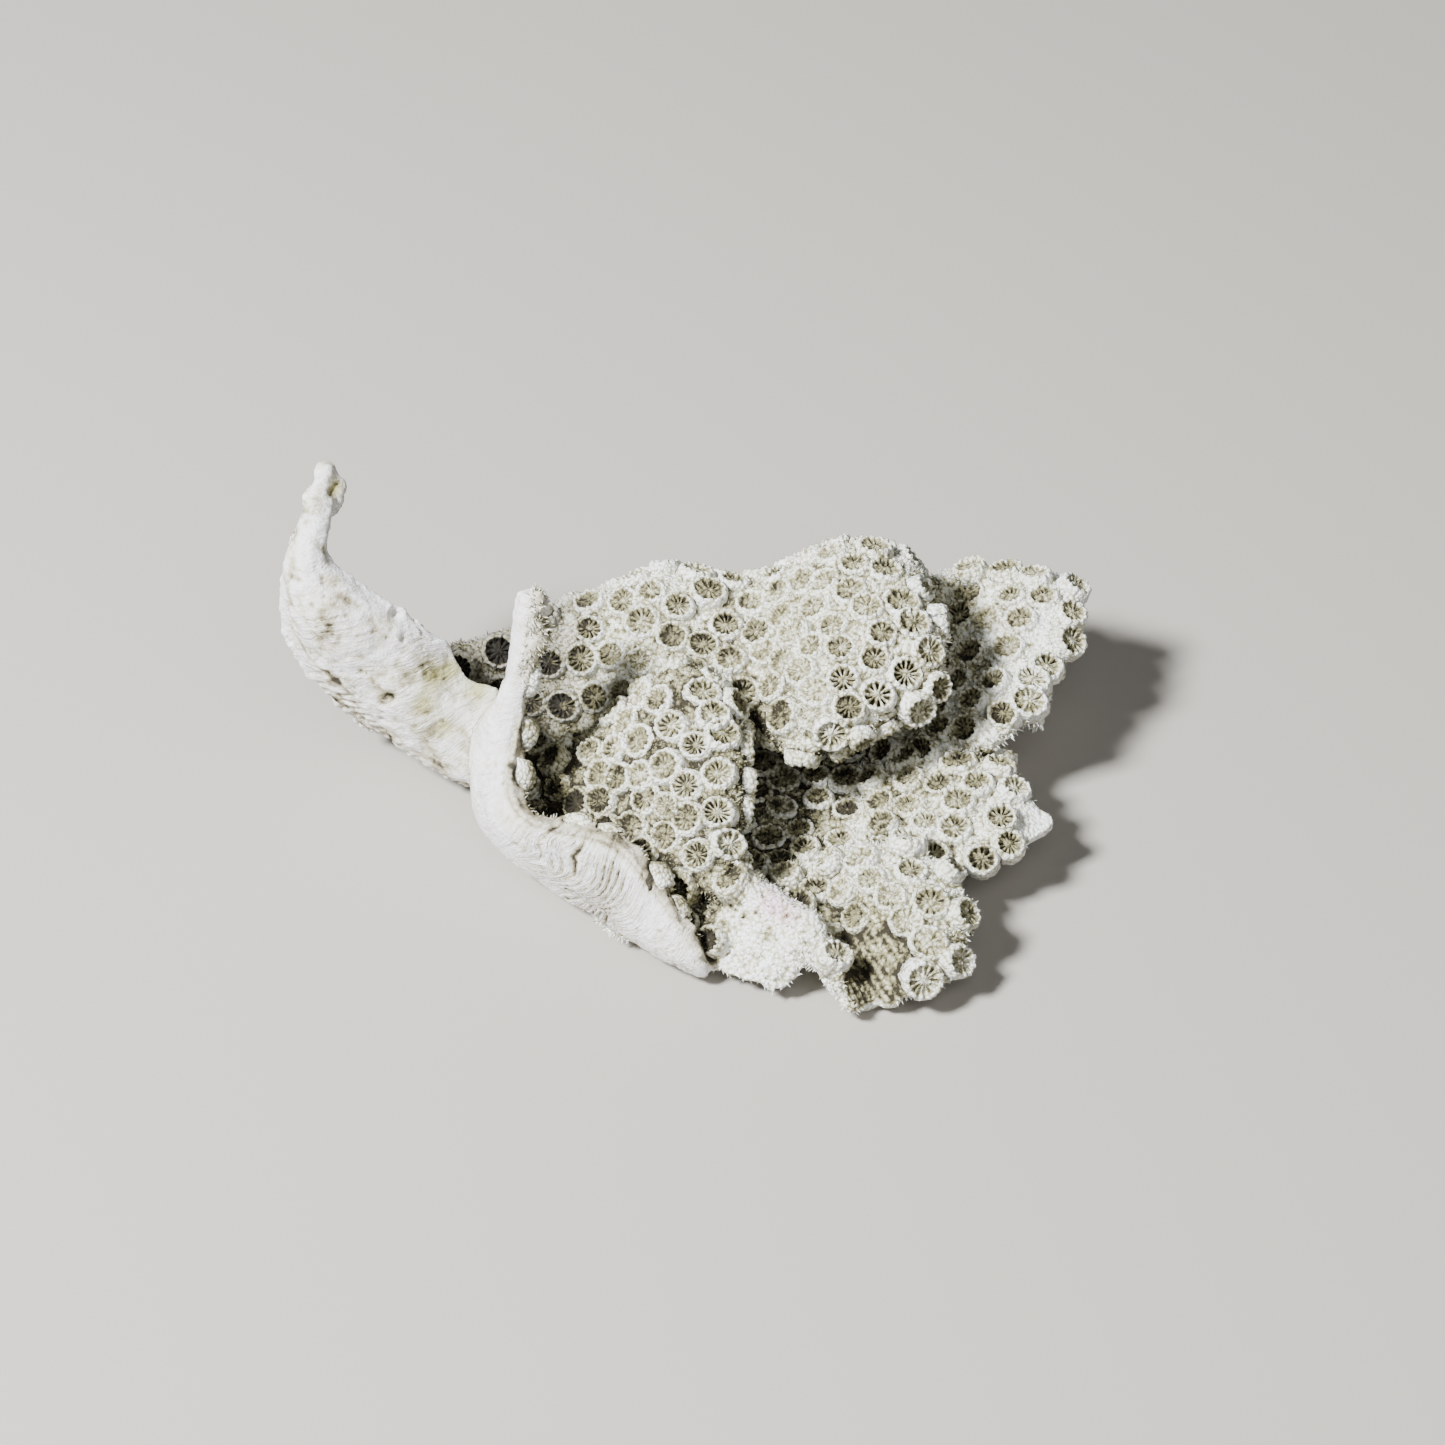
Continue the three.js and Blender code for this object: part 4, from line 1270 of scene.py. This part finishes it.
def aragonite(
    name, colours, speckle, grain_mm, grain_depth, roughness,
    spine_mm=0.0, line_mm=0.0, line_depth=0.0,
):
    """Bleached coral skeleton, white where it is open and stained where it is sheltered."""
    material = bpy.data.materials.new(name)
    material.use_nodes = True
    tree = material.node_tree
    shader = tree.nodes["Principled BSDF"]
    shader.inputs["IOR"].default_value = ARAGONITE_IOR
    shader.inputs["Specular IOR Level"].default_value = ARAGONITE_SPECULAR
    where = add_node(tree, "ShaderNodeNewGeometry").outputs["Position"]
    spines_pattern = None
    if spine_mm:
        spines_pattern = add_node(
            tree, "ShaderNodeTexVoronoi", inputs={"Scale": 1 / (spine_mm * MM)},
            links={"Vector": where},
        )
    grain_noise = add_node(
        tree, "ShaderNodeTexNoise",
        inputs={"Scale": 1 / (grain_mm * MM), "Detail": 5.0, "Roughness": 0.7},
        links={"Vector": where},
    )
    rough = add_node(
        tree, "ShaderNodeMapRange",
        inputs={"To Min": roughness - ROUGHNESS_SPREAD, "To Max": roughness + ROUGHNESS_SPREAD},
        links={"Value": grain_noise.outputs["Fac"]},
    )
    amount = stain_and_shade_amount(tree, where, speckle, spines_pattern)
    surface = relief(tree, grain_noise, grain_depth, spines_pattern, spine_mm, line_mm, line_depth)
    tree.links.new(tinted_colour(tree, amount, colours), shader.inputs["Base Color"])
    tree.links.new(rough.outputs["Result"], shader.inputs["Roughness"])
    tree.links.new(surface, shader.inputs["Normal"])
    return material


cupped_aragonite = aragonite(
    "bleached_aragonite_upper", CUPPED_COLOURS,
    speckle=0.14, grain_mm=0.22, grain_depth=0.1, roughness=0.88, spine_mm=0.5,
)
smooth_aragonite = aragonite(
    "bleached_aragonite_under", SMOOTH_COLOURS,
    speckle=0.16, grain_mm=0.7, grain_depth=0.4, roughness=0.8, line_mm=0.36, line_depth=1.4,
)
print("materials:", cupped_aragonite.name, smooth_aragonite.name)

# %% [markdown]
# Now the masks that the materials read. Dust and painted shade lie in the sheltered hollows and
# between the spines; painted shade also rings the feet of the cups, darkens the upper side where it
# turns steep or faces down, and fills the groove. Some plates get more than others, and the upper
# right lobe gets painted light. Fresh breaks and the tooth are cleaner. The holes and dents are dark,
# a few deep hollows get painted shade, the wall behind the fold gets the horn's painted shadow, and a
# few places have the green of dried algae or a pink crust. Every point of the skin gets one value
# for each mask.

# %% Masks of stain, painted shade and tint
BARE_PLATES = ("horn_frond", "left_fold")
# Dust and painted shade by plate: the inner frond is darkened as the fold shades it, and the upper right
# lobe is lightened, a painted light against the back frond's shadow on it.
DUST_AND_SHADE_BY_PLATE = {
    "inner_frond": 0.5, "base_plate": 0.5, "back_frond": 0.04, "upper_right_lobe": -0.25,
}
PLATE_MASK_BLUR_ROUNDS = 30
# Dust and painted shade in the hollows of the grain, and a ring of painted shadow round each cup's foot.
HOLLOW_DUST_AND_SHADE, FOOT_SHADE = 0.34, 0.38
LINE_DIRT, HOLE_DIRT, BREAK_DIRT, GROOVE_SHADE = 1.5, 0.6, 0.26, 0.5
STEEP_SHADE = 0.38
RIB_DIRT, FINGER_DIRT, BEVEL_DIRT, BEVEL_EDGE_DIRT = 0.3, 0.3, 0.34, 0.4
BROKEN_BAND = 0.3
BREAK_STARTS = 13
# Painted shade in deep hollows: between the fold and the inner frond, and under the back frond's lip.
SHADED_PLACES = [
    ((530, 715), 4.0, 0.5), ((545, 765), 4.5, 0.45), ((748, 735), 4.0, 0.7), ((775, 750), 4.0, 0.6),
]
ALGAE_PLACES = [
    ((433, 679), 2.4), ((422, 705), 1.8), ((445, 727), 1.7), ((452, 668), 1.6), ((478, 688), 2.4),
    ((336, 489), 1.3),
]
PINK_PLACES = [((773, 903), 2.2), ((790, 915), 1.4)]
# Painted shadow of the horn: the back frond greys from 16 mm left of the middle, fully from 24 mm.
HORN_SHADOW_FROM, HORN_SHADOW_TO = 16.0, 24.0


# Painted shade with dust: the more sheltered a point is, the darker it is.
def shelter_dust_and_shade(values):
    return 0.95 * smooth_step(values, 0.15, 0.9)


at_rim = sample_along[nearest] < BROKEN_BAND
broken_lobe = lower_lobe & (across_mm > BREAK_STARTS)
broken = blurred(((fold | broken_lobe) & at_rim).astype(float), 2, 0.6)
plate_dust_and_shade = sum((plate_of == PLATES.index(name)) * amount for name, amount in DUST_AND_SHADE_BY_PLATE.items())
plate_dust_and_shade = blurred(plate_dust_and_shade, PLATE_MASK_BLUR_ROUNDS, 1.0)
hollow = smooth_step(-grain, 0.0, 1.0)
dusty = HOLLOW_DUST_AND_SHADE * hollow + FOOT_SHADE * foot + plate_dust_and_shade
mottled = smooth_step(rough_noise(skin, 1.6, 26), -0.2, 0.9)
mottled *= smooth_step(rough_noise(skin, 6.0, 27), -0.6, 0.3)

stain_and_shade = shelter_dust_and_shade(shelter) + upper * dusty * (1 - broken) * (1 - tooth)
stain_and_shade += LINE_DIRT * lines + HOLE_DIRT * holes + BREAK_DIRT * broken
# Painted shade in the groove, which its raised wall shades, darkest between its ridges.
stain_and_shade += GROOVE_SHADE * groove * upper * (1.9 - 1.1 * groove_ridges)
# Painted shade on the upper side where it turns steep or faces down.
stain_and_shade += STEEP_SHADE * upper * smooth_step(-normals[:, 2], -0.2, 0.5)
stain_and_shade += (horn + 0.4 * fold) * bare * (0.5 * mottled + 0.45 * smooth_step(-horn_lumps, 0.1, 0.8))
stain_and_shade += RIB_DIRT * lower_edge * ribs + FINGER_DIRT * finger
stain_and_shade += BEVEL_DIRT * bevel + BEVEL_EDGE_DIRT * bevel_edge * bare
stain_and_shade = np.maximum(np.maximum(stain_and_shade, 0), dent_stain)
stain_and_shade += sum(amount * spot(pixel, radius) for pixel, radius, amount in SHADED_PLACES)
# The horn's painted shadow: less of the shelter's shade there, and a flat grey instead.
horn_shadow = (plate_of == PLATES.index("back_frond")) * smooth_step(-skin[:, 0], HORN_SHADOW_FROM, HORN_SHADOW_TO)
stain_and_shade = stain_and_shade * (1 - 0.75 * horn_shadow) + 0.15 * horn_shadow
faint_algae = 0.14 * upper * smooth_step(rough_noise(skin, 9.0, 35), -0.3, 0.6)
algae = np.maximum(spots(ALGAE_PLACES), faint_algae)
skin_masks = {
    "stain_and_shade": stain_and_shade,
    "lines": phase,
    "rows": rows,
    "lined": lined,
    "horn_shadow": horn_shadow,
    "algae": algae,
    "pink": 0.8 * spots(PINK_PLACES),
}
print("mean stain:", round(float(stain_and_shade.mean()), 2))

# %% [markdown]
# The skin is parted at the forks into one piece for each plate, so that the pieces match the frame.
# A parted smooth surface would show its seams, because each piece would shade its own edge. So the
# shading directions are worked out on the whole skin and handed to every piece. The cups and the
# spines of a plate are pieces of their own, and take the masks of the skin they stand on.

# %% Pieces of the skin
SPINE_SEED = 700
SPINE_TIP_STAIN_AND_SHADE = 0.2
CUP_SHELTER_SHARE = 0.6


def finish_piece(name, node, vertices, faces, masks, material, smooth=True):
    mesh = raw_mesh(name, np.asarray(vertices) * MM, faces)
    for mask, values in masks.items():
        layer = mesh.attributes.new(mask, "FLOAT", "POINT")
        layer.data.foreach_set("value", np.asarray(values, np.float32))
    mesh.polygons.foreach_set("use_smooth", [smooth] * len(mesh.polygons))
    mesh.materials.append(material)
    mesh.update()
    piece = bpy.data.objects.new(name, mesh)
    bpy.context.scene.collection.objects.link(piece)
    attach(piece, "root")
    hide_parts(node)
    return piece


face_plate = plate_of[squares[:, 0]]
triangles = 0
for k, name in enumerate(PLATES):
    faces = squares[face_plate == k]
    used, renumbered = np.unique(faces, return_inverse=True)
    material = smooth_aragonite if name in BARE_PLATES else cupped_aragonite
    masks = {mask: values[used] for mask, values in skin_masks.items()}
    own_faces = renumbered.reshape(-1, 4)
    piece = finish_piece(name + "_skin", name, shaped[used], own_faces, masks, material)
    piece.data.normals_split_custom_set_from_vertices(shaped_normals[used].tolist())
    triangles += 2 * len(faces)
    own = spine_points[plate_of[spine_points] == k]
    if len(own):
        heights = SPINE_HEIGHT * rng.uniform(0.5, 1.2, len(own))
        heights *= 0.8 + 0.8 * fringe[own] + 0.8 * finger[own]
        vertices, faces = spines(shaped[own], shaped_normals[own], heights, SPINE_SEED + k)
        masks = {mask: np.repeat(values[own], 4) for mask, values in skin_masks.items()}
        masks["stain_and_shade"] = (stain_and_shade[own][:, None] * (1, 1, 1, SPINE_TIP_STAIN_AND_SHADE)).ravel()
        finish_piece(name + "_spines", name, vertices, faces, masks, cupped_aragonite, smooth=False)
        triangles += len(faces)
    if name in cup_shapes:
        cup_vertices, cup_faces, depth = cup_shapes[name]
        around = np.array([skin_tree.find(point)[1] for point in cup_vertices])
        masks = {mask: values[around] for mask, values in skin_masks.items()}
        # Painted shade on the cups: a share of the shelter's shade, and the darkening down the slits,
        # stronger under the horn's painted shadow.
        masks["stain_and_shade"] = CUP_SHELTER_SHARE * shelter_dust_and_shade(shelter[around]) * (1 - 0.6 * horn_shadow[around])
        masks["stain_and_shade"] += (1 + horn_shadow[around]) * depth
        finish_piece(name + "_corallites", name, cup_vertices, cup_faces, masks, cupped_aragonite)
        triangles += 2 * len(cup_faces)
print("triangles:", triangles)

# %% [markdown]
# A pale floor of matt paper, a soft key light from the left and a weaker, larger fill light from the
# front right light the piece as a window and a bright room would. The key light stands 50 degrees
# up, which is what the lengths of the shadows show. A sky texture would light it too, but it would
# be harder to match.

# %% Floor and lights
FLOOR_SIZE = 3.0
FLOOR_COLOUR = "#a5a098"
FLOOR_ROUGHNESS = 0.9
LIGHT_COLOUR = (0.96, 0.98, 1.0)
# Degrees to the right of the camera and above the floor, distance and size in metres, watts.
LIGHTS = {
    "key": (-62, 50, 0.8, 0.16, 27.5),
    "fill": (20, 50, 1.0, 0.6, 3.6),
}
ROOM_COLOUR = (0.9, 0.95, 1.0, 1.0)
ROOM_STRENGTH = 0.05


def floor_material():
    material = bpy.data.materials.new("pale_paper")
    material.use_nodes = True
    shader = material.node_tree.nodes["Principled BSDF"]
    shader.inputs["Base Color"].default_value = linear(FLOOR_COLOUR)
    shader.inputs["Roughness"].default_value = FLOOR_ROUGHNESS
    return material


def area_light(name, azimuth, elevation, distance, size, power):
    """A square light that looks at the middle of the piece from the given direction."""
    a, e = math.radians(azimuth), math.radians(elevation)
    direction = Vector((math.sin(a) * math.cos(e), -math.cos(a) * math.cos(e), math.sin(e)))
    light = bpy.data.lights.new(name, "AREA")
    light.size = size
    light.energy = power
    light.color = LIGHT_COLOUR
    thing = bpy.data.objects.new(name, light)
    thing.location = Vector(TARGET * MM) + direction * distance
    thing.rotation_euler = direction.to_track_quat("Z", "Y").to_euler()
    bpy.context.scene.collection.objects.link(thing)


half = FLOOR_SIZE / 2
floor_corners = [(-half, -half, 0), (half, -half, 0), (half, half, 0), (-half, half, 0)]
floor_mesh = raw_mesh("floor", floor_corners, [(0, 1, 2, 3)])
floor_mesh.materials.append(floor_material())
floor = bpy.data.objects.new("floor", floor_mesh)
bpy.context.scene.collection.objects.link(floor)
for name, placing in LIGHTS.items():
    area_light(name, *placing)
world = bpy.data.worlds.new("studio")
world.use_nodes = True
background = world.node_tree.nodes["Background"]
background.inputs["Color"].default_value = ROOM_COLOUR
background.inputs["Strength"].default_value = ROOM_STRENGTH
bpy.context.scene.world = world
print("lights:", list(LIGHTS))
